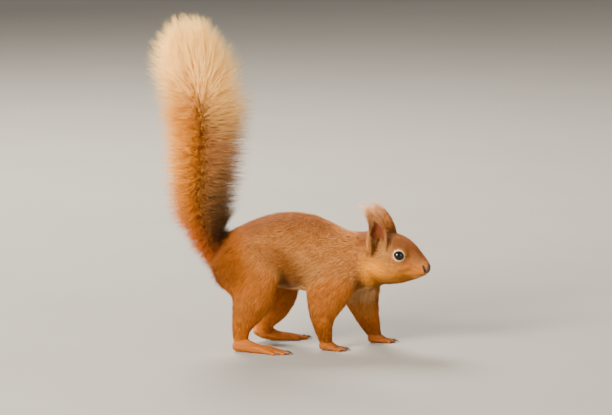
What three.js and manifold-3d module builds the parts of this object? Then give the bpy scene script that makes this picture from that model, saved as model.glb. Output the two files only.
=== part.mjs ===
// A life-size red squirrel, standing on all four feet with its tail held upright.
//
// Millimetres. +X is forward, +Y is the animal's left, +Z is up, and the soles stand on z = 0.
// The solids follow the outside of the coat. Bodies and limbs are lofts through a few measured
// sections. Neighbours are cut to each other with a narrow gap, so that nothing overlaps.

import * as THREE from "three";
import { mergeVertices } from "three/addons/utils/BufferGeometryUtils.js";
import Module from "manifold-3d";

const wasm = await Module();
wasm.setup();

// ---- Driving dimensions -------------------------------------------------------------------

const GAP = 0.3; // between neighbouring pieces
const SOLE_DEPTH = 0.7; // how much of each pad the floor flattens
const FAR = 400; // larger than the animal, for the blocks that cut it

const HEAD_PIVOT = new THREE.Vector3(70.5, -2, 82.5); // where the skull turns on the neck
const HEAD_YAW = -17; // degrees, turned towards the animal's right
const HEAD_PITCH = 15; // degrees, muzzle down

const EYE_RADIUS = 5.4;
const EYE_AT = { x: 26.4, y: 11.7, z: 6.9 }; // in the head's own frame
const SOCKET_GAP = 0.35;

const NOSTRIL = { x: 50.8, y: 4.4, z: 0.7, radius: 1.1, stretch: 1.4 };
const MOUTH_RADIUS = 0.8; // of the groove between the lips

const EAR_BASE = { x: 8, y: 14.2, z: 2 };
const EAR_HEIGHT = 31;
const EAR_HALF_WIDTH = 7.4;
const EAR_WALL = 1.6;
const EAR_LEAN_BACK = 13; // degrees
const EAR_LEAN_OUT = 5;
const EAR_TURN = 66; // degrees that the opening turns outwards from straight ahead
const EAR_CURL = { base: 118, tip: 58 }; // half of the wall's sweep, in degrees
const EAR_OUTLINE = { start: 0.22, span: 0.75, fullness: 0.75 }; // of a half sine, from base to tip
const EAR_SET_FORWARD = 0.7; // of the half width
const EAR_TIP_BACK = 2.5;
const TUFT_HINGE = { x: -1, z: 26 }; // where the hair leaves the ear's tip
const TUFT_SWEEP = { right: 0, left: 14 }; // degrees that each tuft lies further back

const TOE = { radius: 2.1, tip: 1.5, root: -4 };
const CLAW = { length: 5.6, radius: 0.95, tip: 0.28, drop: 3.1 };

// A section is [x, y, z, half width, half height above, half height below], across its path.
// On a path that runs down, above means in front. On one that runs up, above means behind.

const TRUNK = [
  [-63, 0, 79, 10, 9, 10],
  [-54, 0, 80, 20, 18, 18],
  [-40, 0, 82, 26, 24, 25],
  [-22, 0, 84, 28, 30, 31],
  [-4, 0, 84.5, 28.5, 34, 34.5],
  [12, 0, 82.5, 28, 34.8, 34.5],
  [28, 0, 78, 26.5, 32.3, 31.5],
  [44, 0, 75, 24.5, 28.8, 30.5],
  [60, -1, 74.5, 21.5, 25, 27.5],
];

const NECK = [
  [46, 0, 76, 20, 24, 26],
  [58, -0.5, 76, 21.5, 25, 28],
  [70, -1.5, 76.5, 21, 24, 27],
  [80, -4, 78, 19.5, 22, 23],
];

// In the head's own frame, from the nape to the tip of the nose.
const HEAD = [
  [-9, 0, -4, 17, 20, 18.6],
  [0, 0, -3, 19.5, 22, 22.4],
  [10, 0, -1.5, 19.8, 23, 23.4],
  [19, 0, -0.5, 18.8, 23.6, 22.8],
  [26.5, 0, 0, 16.6, 22.4, 20.6],
  [34, 0, 0.5, 13, 18.9, 17.4],
  [40, 0, 0.6, 9.8, 14.7, 13.8],
  [46, 0, 0.8, 7.3, 10, 9.6],
  [51, 0, 0.8, 5.2, 5.6, 5.2],
];
// Rounded swellings and hollows on the left half of the face: where, how wide and how high.
const FACE_FORMS = {
  cheek: { at: [14, 19, -11], reach: 15, height: 1.6 },
  brow: { at: [27, 10, 17], reach: 10, height: 1 },
  hollowBeforeEye: { at: [37, 11, 8], reach: 8, height: -1.2 },
  whiskerPad: { at: [46, 7, -4], reach: 7, height: 1.3 },
};
// The line of the mouth from its left corner forwards: [x, degrees below straight out].
const LIP_LINE = [
  [41, 40],
  [45, 44],
  [49, 50],
  [51, 60],
];
const LIP_FRONT = { x: 52.8, z: -3.6 };

// The long hair of a left ear's tip, swept up and back, as three locks, in the head's frame.
const TUFT_LOCKS = [
  [
    [3.5, 16, 24, 3, 4, 3],
    [0, 16, 31, 4, 5.6, 4.6],
    [-6, 15.6, 36.5, 3.4, 4.4, 3.6],
    [-12, 15, 39.5, 2.1, 2.6, 2.2],
    [-17.5, 14.4, 41, 0.8, 0.9, 0.9],
  ],
  [
    [2.5, 15.6, 28, 3, 4, 3],
    [-1.5, 15.4, 36, 2.8, 3.2, 3],
    [-6.5, 14.8, 41.5, 1.6, 1.8, 1.7],
    [-10.5, 14.2, 44.5, 0.6, 0.7, 0.7],
  ],
  [
    [-0.5, 16.4, 24, 3, 3.4, 3],
    [-5.5, 16.6, 30, 2.6, 2.8, 2.8],
    [-10.5, 16.4, 34.5, 1.7, 1.8, 1.8],
    [-14.5, 16, 36.8, 0.6, 0.7, 0.7],
  ],
];

const TAIL = [
  [-50, 0, 84, 10, 11, 11],
  [-62, 0, 84.5, 13, 9.5, 13],
  [-70.5, 0.4, 92, 15, 13, 18.5],
  [-75, 0.8, 108, 18.5, 22.5, 25],
  [-78, 1, 128, 21.5, 28, 31],
  [-76, 0.8, 156, 24, 31, 35.5],
  [-75, 0.4, 185, 26, 34, 40],
  [-76, 0, 212, 27.5, 37, 43],
  [-79.5, -0.4, 232, 28, 39.5, 44],
  [-84, -0.8, 250, 27, 38.5, 41.5],
  [-86, -1, 265, 23.5, 33, 35],
  [-86, -1, 277, 17, 23, 26],
];
const TAIL_CUTS = [
  [-77.5, 0, 140],
  [-76, 0, 218],
];
const TAIL_LOCK_ROWS = 9; // rings of overlapping locks up the tail
const TAIL_LOCK_DEPTH = 0.07; // as a share of the radius
const TAIL_LOCKS_AROUND = 9;
const TAIL_LOCK_SLOPE = { rise: 0.9, start: 0.6 }; // of the depth, along one lock and at its root
const TAIL_SMOOTH_ROOT = 0.25; // the share of the tail over which the locks set in

const HIND_LEG = {
  right: [
    [-38, -15, 96, 7, 9, 10],
    [-38, -17.5, 88, 12.5, 17.5, 20],
    [-38, -20.5, 75, 15, 31, 31],
    [-36, -23, 62, 13.5, 30.5, 26],
    [-33.5, -25, 51, 11.5, 24, 19],
    [-34.5, -25.5, 42, 10, 19.5, 15.5],
    [-38.5, -26, 30, 8, 14, 12],
    [-42, -26.5, 20, 6, 9, 8.5],
    [-42.5, -26.5, 11, 5, 6.3, 6.5],
  ],
  left: [
    [-34, 15, 96, 7, 9, 10],
    [-30, 17.5, 85, 12.5, 20, 22],
    [-23, 20.5, 72, 15, 26, 25],
    [-12, 23, 58, 13.5, 23, 20],
    [-7.5, 25, 46, 11.5, 17.5, 15.5],
    [-9.5, 25.5, 37, 10, 14.5, 12.5],
    [-14.5, 26, 27, 8, 12.5, 10],
    [-21, 26.5, 18, 6, 8.5, 8],
    [-24, 26.5, 10.5, 5, 6.3, 6.5],
  ],
};
const KNEE = { right: [-34, -25, 46], left: [-8.5, 25, 41] };
const HIND_ANKLE = { right: [-42.5, -26.5, 15], left: [-22.5, 26.5, 14.5] };
const HIND_FOOT = {
  right: { heel: [-46.5, -26.5, 0], turn: -20, lift: 0 },
  left: { heel: [-29, 26.5, 0], turn: 22, lift: 5.5 },
};
const LIFT_REACH = 22; // how far along the foot a lifted heel comes down
const LIFT_CURVE = 1.5; // the power of that fall
const HIND_FOOT_SECTIONS = [
  [-0.5, 0, 6.2, 3.6, 4.2, 5.2],
  [5, 0, 6.4, 4.8, 7.6, 6.9],
  [14, 0, 4.6, 4.9, 5.4, 5.2],
  [24, 0, 3.7, 5.9, 4.1, 4.3],
  [32, 0, 3.3, 6.7, 3.2, 3.9],
  [36, 0, 3, 5.6, 2.4, 3.4],
];
// One row for each toe: where it leaves the foot, its sideways spread in degrees and its length.
const HIND_TOES = [
  { from: [27, 5.1], spread: 24, length: 10.5 },
  { from: [32, 3], spread: 9, length: 14 },
  { from: [33.5, 0.1], spread: 1, length: 15 },
  { from: [32.5, -2.8], spread: -7, length: 14.2 },
  { from: [28, -5], spread: -19, length: 11.5 },
];

const FORE_LEG = {
  right: [
    [41, -10, 93, 6, 9, 9],
    [39, -14, 82, 9.5, 19, 17],
    [36, -16.5, 68, 10.5, 24, 21],
    [33, -18, 55, 10.5, 24, 21],
    [30, -19, 44, 9.5, 20.5, 17.5],
    [28.5, -19.5, 35, 8.3, 15.5, 13.8],
    [28, -20, 27, 7, 10.6, 10.8],
    [28.8, -20, 18, 5.8, 8.2, 8.2],
    [31, -20, 8.5, 4.6, 5.6, 5.8],
  ],
  left: [
    [50, 10, 92, 6, 9, 9],
    [52, 14, 80, 9.5, 18, 18],
    [56, 16.5, 66, 10.5, 20, 22],
    [60, 18, 52, 10.5, 21.3, 20.5],
    [62.5, 19, 42, 9.5, 17, 17.5],
    [64.8, 19.5, 33, 8.3, 13, 14.6],
    [67, 20, 25, 7, 10.6, 12],
    [70, 20, 16, 5.8, 8.8, 9.2],
    [73, 20, 8.5, 4.6, 6.6, 6],
  ],
};
const ELBOW = { right: [28.5, -19.5, 38], left: [64, 19.5, 36] };
const FORE_WRIST = { right: [30.2, -20, 11.5], left: [72, 20, 11.5] };
const FORE_PAW = {
  right: { heel: [27.5, -20, 0], turn: -6, lift: 0 },
  left: { heel: [69.8, 20, 0], turn: 10, lift: 0 },
};
const FORE_PAW_SECTIONS = [
  [-0.5, 0, 5, 3, 3.4, 4],
  [3.2, 0, 5.2, 4.4, 6, 5.7],
  [8, 0, 3.9, 4.9, 4.6, 4.5],
  [11.5, 0, 3.1, 4.6, 2.9, 3.6],
];
const FORE_TOES = [
  { from: [8.6, 3.7], spread: 20, length: 8.6 },
  { from: [10.6, 1.4], spread: 6, length: 10.6 },
  { from: [10.6, -1.3], spread: -6, length: 10.4 },
  { from: [8.4, -3.7], spread: -19, length: 8.8 },
];

// How finely each kind of body is faceted, and how far its rounded ends reach.
const TRUNK_MESH = { around: 18, along: 11, domes: [0.45, 0.35], domeRings: 1 };
const NECK_MESH = { around: 15, along: 4, domes: [0.3, 0.3], domeRings: 1 };
const HEAD_MESH = { around: 18, along: 13, domes: [0.5, 0.62], domeRings: 1 };
const TAIL_MESH = { around: 16, along: 16, domes: [0.3, 0.75], domeRings: 2 };
const LEG_MESH = { around: 12, along: 8, domes: [0.6, 0.4], domeRings: 1 };
const FOOT_MESH = { around: 7, along: 4, domes: [0.7, 0.5], domeRings: 1 };
const TOE_MESH = { around: 5, along: 2, domes: [0.5, 0.8], domeRings: 0 };
const CLAW_MESH = { around: 3, along: 1, domes: [0.3, 1], domeRings: 0 };
const LOCK_MESH = { around: 5, along: 3, domes: [0.4, 1.2], domeRings: 0 };
const EYE_FACETS = [10, 7];
const NOSTRIL_FACETS = [7, 5];
const MOUTH_STEPS = 10;
const MOUTH_FACETS = 3;
const EAR_ROWS = 7;
const EAR_COLUMNS = 6;

// ---- Lofts --------------------------------------------------------------------------------

const LATERAL = new THREE.Vector3(0, 1, 0);

/** A closed skin over rings of equally many points, with a pole at each end. */
function skinOver(rings, startPole, endPole) {
  const around = rings[0].length;
  const points = [startPole, ...rings.flat(), endPole];
  const last = points.length - 1;
  const triangles = [];
  for (let j = 0; j < around; j++) {
    const next = (j + 1) % around;
    triangles.push(0, 1 + next, 1 + j);
    const top = 1 + (rings.length - 1) * around;
    triangles.push(last, top + j, top + next);
    for (let i = 0; i < rings.length - 1; i++) {
      const low = 1 + i * around;
      const high = low + around;
      triangles.push(low + j, low + next, high + next);
      triangles.push(low + j, high + next, high + j);
    }
  }
  return new THREE.BufferGeometry().setFromPoints(points).setIndex(triangles);
}

/**
 * A rounded body through a row of sections. Each end gets a dome, as long as the share `dome`
 * of its radius. `grow` makes it larger all over, and `ripple(t, angle)` scales each radius.
 */
function loft(sections, options) {
  const { around, along, domes, domeRings, grow = 0, ripple = () => 1 } = options;
  const path = new THREE.CatmullRomCurve3(
    sections.map(([x, y, z]) => new THREE.Vector3(x, y, z)),
  );
  const sizes = new THREE.CatmullRomCurve3(
    sections.map(([, , , wide, above, below]) => new THREE.Vector3(wide, above, below)),
  );
  const ringAt = (t, shrink, ahead) => {
    const tangent = path.getTangent(t);
    const side = LATERAL.clone().addScaledVector(tangent, -LATERAL.dot(tangent)).normalize();
    const up = new THREE.Vector3().crossVectors(tangent, side);
    const size = sizes.getPoint(t);
    const centre = path.getPoint(t).addScaledVector(tangent, ahead * (size.x + grow));
    const ring = [];
    for (let j = 0; j < around; j++) {
      const angle = (2 * Math.PI * j) / around;
      const swell = ripple(t, angle) * shrink;
      const height = Math.sin(angle) > 0 ? size.y : size.z;
      ring.push(
        centre
          .clone()
          .addScaledVector(side, Math.cos(angle) * (size.x + grow) * swell)
          .addScaledVector(up, Math.sin(angle) * (height + grow) * swell),
      );
    }
    return { ring, centre };
  };
  const rings = [];
  const turnOf = (i) => (Math.PI / 2) * (i / (domeRings + 1)); // round a dome
  for (let i = domeRings; i > 0; i--) {
    rings.push(ringAt(0, Math.cos(turnOf(i)), -Math.sin(turnOf(i)) * domes[0]).ring);
  }
  for (let i = 0; i <= along; i++) rings.push(ringAt(i / along, 1, 0).ring);
  for (let i = 1; i <= domeRings; i++) {
    rings.push(ringAt(1, Math.cos(turnOf(i)), Math.sin(turnOf(i)) * domes[1]).ring);
  }
  return skinOver(rings, ringAt(0, 0, -domes[0]).centre, ringAt(1, 0, domes[1]).centre);
}

/** Moves a geometry's points outwards from their own middle line where they are near `centre`. */
function swell(geometry, centre, reach, height) {
  geometry.computeVertexNormals();
  const position = geometry.attributes.position;
  const normal = geometry.attributes.normal;
  const point = new THREE.Vector3();
  const out = new THREE.Vector3();
  for (let i = 0; i < position.count; i++) {
    point.fromBufferAttribute(position, i);
    out.fromBufferAttribute(normal, i);
    const near = Math.max(0, 1 - point.distanceToSquared(centre) / reach ** 2);
    point.addScaledVector(out, height * near * near);
    position.setXYZ(i, point.x, point.y, point.z);
  }
  geometry.deleteAttribute("normal");
  return geometry;
}

// ---- Solids -------------------------------------------------------------------------------

/** A three.js geometry as a manifold-3d solid. */
function solidOf(geometry, matrix = new THREE.Matrix4()) {
  const bare = (geometry.index ? geometry.toNonIndexed() : geometry.clone()).applyMatrix4(matrix);
  bare.deleteAttribute("normal");
  bare.deleteAttribute("uv");
  const merged = mergeVertices(bare, 1e-4);
  return new wasm.Manifold(
    new wasm.Mesh({
      numProp: 3,
      vertProperties: new Float32Array(merged.attributes.position.array),
      triVerts: new Uint32Array(merged.index.array),
    }),
  );
}

function geometryOf(solid) {
  const { numProp, vertProperties, triVerts } = solid.getMesh();
  const points = [];
  for (let i = 0; i < vertProperties.length; i += numProp) {
    points.push(new THREE.Vector3(...vertProperties.subarray(i, i + 3)));
  }
  return new THREE.BufferGeometry().setFromPoints(points).setIndex([...triVerts]);
}

/** The largest body of a solid, without the slivers that a cut may leave. */
function mainBody(solid) {
  return solid.decompose().sort((a, b) => b.volume() - a.volume())[0];
}

/** A block that fills the side of a plane to which `normal` points. */
function halfSpace(point, normal) {
  const block = new THREE.BoxGeometry(FAR, FAR, FAR).translate(0, 0, FAR / 2);
  const turn = new THREE.Quaternion().setFromUnitVectors(
    new THREE.Vector3(0, 0, 1),
    normal.clone().normalize(),
  );
  return solidOf(block, new THREE.Matrix4().compose(point, turn, new THREE.Vector3(1, 1, 1)));
}

/** Parts a solid at a plane with a narrow gap: the piece ahead of it and the piece behind it. */
function partAt(solid, point, normal) {
  const unit = normal.clone().normalize();
  const ahead = point.clone().addScaledVector(unit, GAP / 2);
  const behind = point.clone().addScaledVector(unit, -GAP / 2);
  return [
    mainBody(solid.subtract(halfSpace(ahead, unit.clone().negate()))),
    mainBody(solid.subtract(halfSpace(behind, unit))),
  ];
}

const floor = halfSpace(new THREE.Vector3(0, 0, 0), new THREE.Vector3(0, 0, -1));

// ---- Head ---------------------------------------------------------------------------------

const headGroup = new THREE.Group();
headGroup.position.copy(HEAD_PIVOT);
headGroup.rotation.set(
  0,
  THREE.MathUtils.degToRad(HEAD_PITCH),
  THREE.MathUtils.degToRad(HEAD_YAW),
  "ZYX",
);
headGroup.updateMatrix();
const headMatrix = headGroup.matrix.clone();
const headMatrixBack = headMatrix.clone().invert();

const SIDES = { right: -1, left: 1 };

function eyeCentre(side) {
  return new THREE.Vector3(EYE_AT.x, EYE_AT.y * SIDES[side], EYE_AT.z);
}

function headShape(grow = 0) {
  const shape = loft(HEAD, { ...HEAD_MESH, grow });
  for (const side of Object.values(SIDES)) {
    for (const { at, reach, height } of Object.values(FACE_FORMS)) {
      const [x, y, z] = at;
      swell(shape, new THREE.Vector3(x, y * side, z), reach, height);
    }
  }
  return shape;
}

/** A point on the head's surface at `x`, `degrees` below straight out to its left. */
function headPoint(x, degrees) {
  const next = HEAD.findIndex((section) => section[0] >= x);
  const [a, b] = [HEAD[next - 1], HEAD[next]];
  const share = (x - a[0]) / (b[0] - a[0]);
  const [, , z, wide, , below] = a.map((value, k) => THREE.MathUtils.lerp(value, b[k], share));
  const angle = THREE.MathUtils.degToRad(degrees);
  return new THREE.Vector3(x, wide * Math.cos(angle), z - below * Math.sin(angle));
}

/** A closed round tube along the line of the mouth, from corner to corner. */
function mouthGroove() {
  const left = LIP_LINE.map(([x, degrees]) => headPoint(x, degrees));
  const right = left.map(({ x, y, z }) => new THREE.Vector3(x, -y, z)).reverse();
  const front = new THREE.Vector3(LIP_FRONT.x, 0, LIP_FRONT.z);
  const path = new THREE.CatmullRomCurve3([...left, front, ...right]);
  const section = new THREE.Shape().absarc(0, 0, MOUTH_RADIUS, 0, 2 * Math.PI);
  return new THREE.ExtrudeGeometry(section, {
    extrudePath: path,
    steps: MOUTH_STEPS,
    curveSegments: MOUTH_FACETS,
    bevelEnabled: false,
  });
}

function headSolid() {
  let solid = solidOf(headShape()).subtract(solidOf(mouthGroove()));
  for (const side of Object.keys(SIDES)) {
    const socket = new THREE.SphereGeometry(EYE_RADIUS + SOCKET_GAP, ...EYE_FACETS);
    const nostril = new THREE.SphereGeometry(NOSTRIL.radius, ...NOSTRIL_FACETS);
    nostril.scale(NOSTRIL.stretch, 1, 1);
    const { x, y, z } = NOSTRIL;
    solid = solid
      .subtract(solidOf(socket, new THREE.Matrix4().makeTranslation(eyeCentre(side))))
      .subtract(solidOf(nostril, new THREE.Matrix4().makeTranslation(x, y * SIDES[side], z)));
  }
  return solid;
}

// ---- Ears ---------------------------------------------------------------------------------

/**
 * A closed sheet between two grids of points, `face` and `back`, which each give a point for
 * u and v from 0 to 1. Seen from outside the face, u runs up and v runs to the left.
 */
function sheetBetween(face, back, rows, columns) {
  const width = columns + 1;
  const count = (rows + 1) * width;
  const points = [];
  for (const side of [face, back]) {
    for (let i = 0; i <= rows; i++) {
      for (let j = 0; j <= columns; j++) points.push(side(i / rows, j / columns));
    }
  }
  const triangles = [];
  const quad = (a, b, c, d) => triangles.push(a, b, c, a, c, d);
  for (let i = 0; i < rows; i++) {
    for (let j = 0; j < columns; j++) {
      const k = i * width + j;
      quad(k, k + width, k + width + 1, k + 1);
      quad(count + k, count + k + 1, count + k + width + 1, count + k + width);
    }
  }
  const rim = (a, b) => quad(a, b, count + b, count + a);
  for (let i = 0; i < rows; i++) {
    rim((i + 1) * width, i * width);
    rim(i * width + columns, (i + 1) * width + columns);
  }
  for (let j = 0; j < columns; j++) {
    rim(j, j + 1);
    rim(rows * width + j + 1, rows * width + j);
  }
  return new THREE.BufferGeometry().setFromPoints(points).setIndex(triangles);
}

/** A point of the ear's curled wall. The ear's own +Z runs up it, and its opening faces +X. */
function earPoint(u, v, offset) {
  const { start, span, fullness } = EAR_OUTLINE;
  const half = EAR_HALF_WIDTH * Math.sin(Math.PI * (start + span * u)) ** fullness;
  const curl = THREE.MathUtils.degToRad(THREE.MathUtils.lerp(EAR_CURL.base, EAR_CURL.tip, u));
  const radius = half / Math.sin(Math.min(curl, Math.PI / 2));
  const angle = curl * (2 * v - 1);
  return new THREE.Vector3(
    half * EAR_SET_FORWARD - (radius + offset) * Math.cos(angle) - EAR_TIP_BACK * u * u,
    (radius + offset) * Math.sin(angle),
    u * EAR_HEIGHT,
  );
}

function earShape(grow = 0) {
  const thick = EAR_WALL / 2 + grow;
  // A grown ear, used as a cutter, also reaches past its own rims.
  const wider = (u, v, offset) =>
    earPoint(u, v, offset).add(
      new THREE.Vector3((v === 0 || v === 1 ? 1 : 0) * grow, 0, (2 * u - 1) * grow),
    );
  return sheetBetween(
    (u, v) => wider(u, v, thick),
    (u, v) => wider(u, v, -thick),
    EAR_ROWS,
    EAR_COLUMNS,
  );
}

function earMatrix(side) {
  const sign = SIDES[side];
  return new THREE.Matrix4()
    .makeTranslation(EAR_BASE.x, EAR_BASE.y * sign, EAR_BASE.z)
    .multiply(new THREE.Matrix4().makeRotationX(THREE.MathUtils.degToRad(-EAR_LEAN_OUT * sign)))
    .multiply(new THREE.Matrix4().makeRotationY(THREE.MathUtils.degToRad(-EAR_LEAN_BACK)))
    .multiply(new THREE.Matrix4().makeRotationZ(THREE.MathUtils.degToRad(EAR_TURN * sign)));
}

function earSolid(side, grow = 0) {
  return solidOf(earShape(grow), earMatrix(side));
}

function earTuftSolid(side) {
  const sweep = new THREE.Matrix4()
    .makeTranslation(TUFT_HINGE.x, 0, TUFT_HINGE.z)
    .multiply(new THREE.Matrix4().makeRotationY(THREE.MathUtils.degToRad(-TUFT_SWEEP[side])))
    .multiply(new THREE.Matrix4().makeTranslation(-TUFT_HINGE.x, 0, -TUFT_HINGE.z));
  return TUFT_LOCKS.map((lock) => lock.map(([x, y, z, ...size]) => [x, y * SIDES[side], z, ...size]))
    .map((lock) => solidOf(loft(lock, LOCK_MESH), sweep))
    .reduce((all, lock) => all.add(lock));
}

// ---- Feet ---------------------------------------------------------------------------------

/** A toe with its claw, along +X from its root, as two joined lofts. */
function toeSolid(length, matrix) {
  const { radius, tip, root } = TOE;
  const toe = [
    [root, 0, 3.3, radius, radius, radius],
    [length * 0.35, 0, 3.1, radius * 0.88, radius, radius],
    [length * 0.7, 0, 2, tip, tip, tip * 1.3],
    [length, 0, 1.5, tip, tip, tip * 1.4],
  ];
  const claw = [
    [length - 1, 0, 2.5, CLAW.radius, CLAW.radius * 1.2, CLAW.radius],
    [length + CLAW.length * 0.5, 0, 2.9, CLAW.radius * 0.75, CLAW.radius, CLAW.radius * 0.8],
    [length + CLAW.length * 0.85, 0, 1.8, CLAW.radius * 0.5, CLAW.radius * 0.6, CLAW.radius * 0.6],
    [length + CLAW.length, 0, 2.9 - CLAW.drop * 0.75, CLAW.tip, CLAW.tip, CLAW.tip],
  ];
  return solidOf(loft(toe, TOE_MESH), matrix).add(solidOf(loft(claw, CLAW_MESH), matrix));
}

/** A foot with its toes, its soles flattened by the floor. Its own +X runs from heel to toe. */
function footSolid({ heel, turn, lift }, sections, toes, sign) {
  const place = new THREE.Matrix4()
    .makeTranslation(heel[0], heel[1], -SOLE_DEPTH)
    .multiply(new THREE.Matrix4().makeRotationZ(THREE.MathUtils.degToRad(turn)));
  const lifted = sections.map(([x, y, z, ...size]) => {
    const rise = lift * Math.max(0, 1 - x / LIFT_REACH) ** LIFT_CURVE;
    return [x, y, z + rise, ...size];
  });
  let foot = solidOf(loft(lifted, FOOT_MESH), place);
  for (const { from, spread, length } of toes) {
    // The rows of toes start with the inner one, which is on the left of a right foot.
    const root = new THREE.Matrix4()
      .makeTranslation(from[0], -from[1] * sign, 0)
      .multiply(new THREE.Matrix4().makeRotationZ(THREE.MathUtils.degToRad(-spread * sign)));
    foot = foot.add(toeSolid(length, place.clone().multiply(root)));
  }
  return foot.subtract(floor);
}

// ---- Body ---------------------------------------------------------------------------------

function tailRipple(t, angle) {
  // Locks overlap like shingles, each row set half a lock round from the last.
  const row = t * TAIL_LOCK_ROWS;
  const shift = Math.floor(row) % 2 ? Math.PI / TAIL_LOCKS_AROUND : 0;
  const bulge = Math.abs(Math.cos((TAIL_LOCKS_AROUND * (angle + shift)) / 2));
  const { rise, start } = TAIL_LOCK_SLOPE;
  const setIn = Math.min(1, t / TAIL_SMOOTH_ROOT);
  return 1 + TAIL_LOCK_DEPTH * ((row % 1) * rise - start) * bulge * setIn;
}

const UP = new THREE.Vector3(0, 0, 1);
const vector = ([x, y, z]) => new THREE.Vector3(x, y, z);

/** A grown copy of a body, which cuts its neighbours back by the gap. */
function cutter(sections, size, matrix) {
  return solidOf(loft(sections, { ...size, grow: GAP }), matrix);
}

const trunkCutter = cutter(TRUNK, TRUNK_MESH);
const neckCutter = cutter(NECK, NECK_MESH);
const headCutter = solidOf(headShape(GAP), headMatrix);

/** A limb in three lengths: above its upper joint, between its joints, and the foot below. */
function limbSolids(sections, upperJoint, lowerJoint, foot) {
  const limb = solidOf(loft(sections, LEG_MESH));
  const free = limb.subtract(trunkCutter).subtract(neckCutter).subtract(headCutter);
  const [upper, lower] = partAt(mainBody(free), vector(upperJoint), UP);
  const [middle] = partAt(lower, vector(lowerJoint), UP);
  const footTop = vector(lowerJoint).addScaledVector(UP, -GAP / 2);
  const end = foot.add(limb).subtract(halfSpace(footTop, UP)).subtract(floor);
  return [upper, middle, mainBody(end)];
}

// ---- Assembly -----------------------------------------------------------------------------

const RUFOUS = { color: 0xb57b4d, roughness: 0.85 };
const LEG_ORANGE = { color: 0xc87f44, roughness: 0.85 };
const FOOT_ORANGE = { color: 0xcf7a30, roughness: 0.8 };
const CHEEK_GOLD = { color: 0xbf8444, roughness: 0.8 };
const EAR_BROWN = { color: 0xa8653c, roughness: 0.8 };
const TUFT_FAWN = { color: 0xba8a6c, roughness: 0.9 };
const EYE_BLACK = { color: 0x17110f, roughness: 0.06 };
const TAIL_BROWN = { color: 0x9c5f2c, roughness: 0.9 };
const TAIL_ORANGE = { color: 0xc98a50, roughness: 0.9 };
const TAIL_BLOND = { color: 0xecc89c, roughness: 0.9 };

const model = new THREE.Group();
model.add(headGroup);

/** Adds a solid as a named mesh that turns about `pivot`, in its parent's frame. */
function place(name, solid, look, pivot, parent = model) {
  const geometry = geometryOf(solid).translate(-pivot.x, -pivot.y, -pivot.z);
  const material = new THREE.MeshStandardMaterial({ ...look, metalness: 0 });
  const mesh = new THREE.Mesh(geometry, material);
  mesh.name = name;
  mesh.position.copy(pivot);
  parent.add(mesh);
}

place("trunk", solidOf(loft(TRUNK, TRUNK_MESH)), RUFOUS, vector(TRUNK[0]));
const neck = solidOf(loft(NECK, NECK_MESH)).subtract(trunkCutter).subtract(headCutter);
place("neck", mainBody(neck), RUFOUS, vector(NECK[0]));

const trunkFromHead = cutter(TRUNK, TRUNK_MESH, headMatrixBack);
const neckFromHead = cutter(NECK, NECK_MESH, headMatrixBack);
const headNearby = solidOf(headShape(GAP));
const head = mainBody(headSolid().subtract(trunkFromHead));
place("head", head, CHEEK_GOLD, new THREE.Vector3(), headGroup);

for (const side of Object.keys(SIDES)) {
  const sign = SIDES[side];
  const earBase = new THREE.Vector3(EAR_BASE.x, EAR_BASE.y * sign, EAR_BASE.z);
  const ear = earSolid(side).subtract(headNearby).subtract(neckFromHead);
  place(`ear_${side}`, mainBody(ear), EAR_BROWN, earBase, headGroup);

  const tuft = earTuftSolid(side).subtract(earSolid(side, GAP)).subtract(headNearby);
  const tuftBase = new THREE.Vector3(TUFT_HINGE.x, EAR_BASE.y * sign, TUFT_HINGE.z);
  place(`ear_tuft_${side}`, mainBody(tuft), TUFT_FAWN, tuftBase, headGroup);

  const eyeMatrix = new THREE.Matrix4().makeTranslation(eyeCentre(side));
  const eye = solidOf(new THREE.SphereGeometry(EYE_RADIUS, ...EYE_FACETS), eyeMatrix);
  place(`eye_${side}`, eye, EYE_BLACK, eyeCentre(side), headGroup);

  const hindFoot = footSolid(HIND_FOOT[side], HIND_FOOT_SECTIONS, HIND_TOES, sign);
  const hind = limbSolids(HIND_LEG[side], KNEE[side], HIND_ANKLE[side], hindFoot);
  place(`hind_thigh_${side}`, hind[0], RUFOUS, vector(HIND_LEG[side][0]));
  place(`hind_shank_${side}`, hind[1], LEG_ORANGE, vector(KNEE[side]));
  place(`hind_foot_${side}`, hind[2], FOOT_ORANGE, vector(HIND_ANKLE[side]));

  const forePaw = footSolid(FORE_PAW[side], FORE_PAW_SECTIONS, FORE_TOES, sign);
  const fore = limbSolids(FORE_LEG[side], ELBOW[side], FORE_WRIST[side], forePaw);
  place(`upper_arm_${side}`, fore[0], LEG_ORANGE, vector(FORE_LEG[side][0]));
  place(`forearm_${side}`, fore[1], LEG_ORANGE, vector(ELBOW[side]));
  place(`fore_paw_${side}`, fore[2], FOOT_ORANGE, vector(FORE_WRIST[side]));
}

const tail = mainBody(solidOf(loft(TAIL, { ...TAIL_MESH, ripple: tailRipple })).subtract(trunkCutter));
const [tailUpper, tailBase] = partAt(tail, vector(TAIL_CUTS[0]), UP);
const [tailTip, tailMiddle] = partAt(tailUpper, vector(TAIL_CUTS[1]), UP);
place("tail_base", tailBase, TAIL_BROWN, vector(TAIL[0]));
place("tail_middle", tailMiddle, TAIL_ORANGE, vector(TAIL_CUTS[0]));
place("tail_tip", tailTip, TAIL_BLOND, vector(TAIL_CUTS[1]));

export default model;
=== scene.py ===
# %% [markdown]
# # A red squirrel's coat, eyes, nose and claws
# The solids of this animal already have the right outline, out to the tips of the hair. What is
# missing is everything soft: one skin without seams, and some two hundred thousand tufts that
# lie along the body. Each step below first says what the thing is on a living squirrel, and then
# why it is made the way it is. Sizes are in metres, written as so many millimetres times MM.

import math
from contextlib import contextmanager
from itertools import product

import bpy
import numpy as np
from mathutils import Euler, Matrix, Vector
from mathutils.bvhtree import BVHTree
from mathutils.kdtree import KDTree


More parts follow.
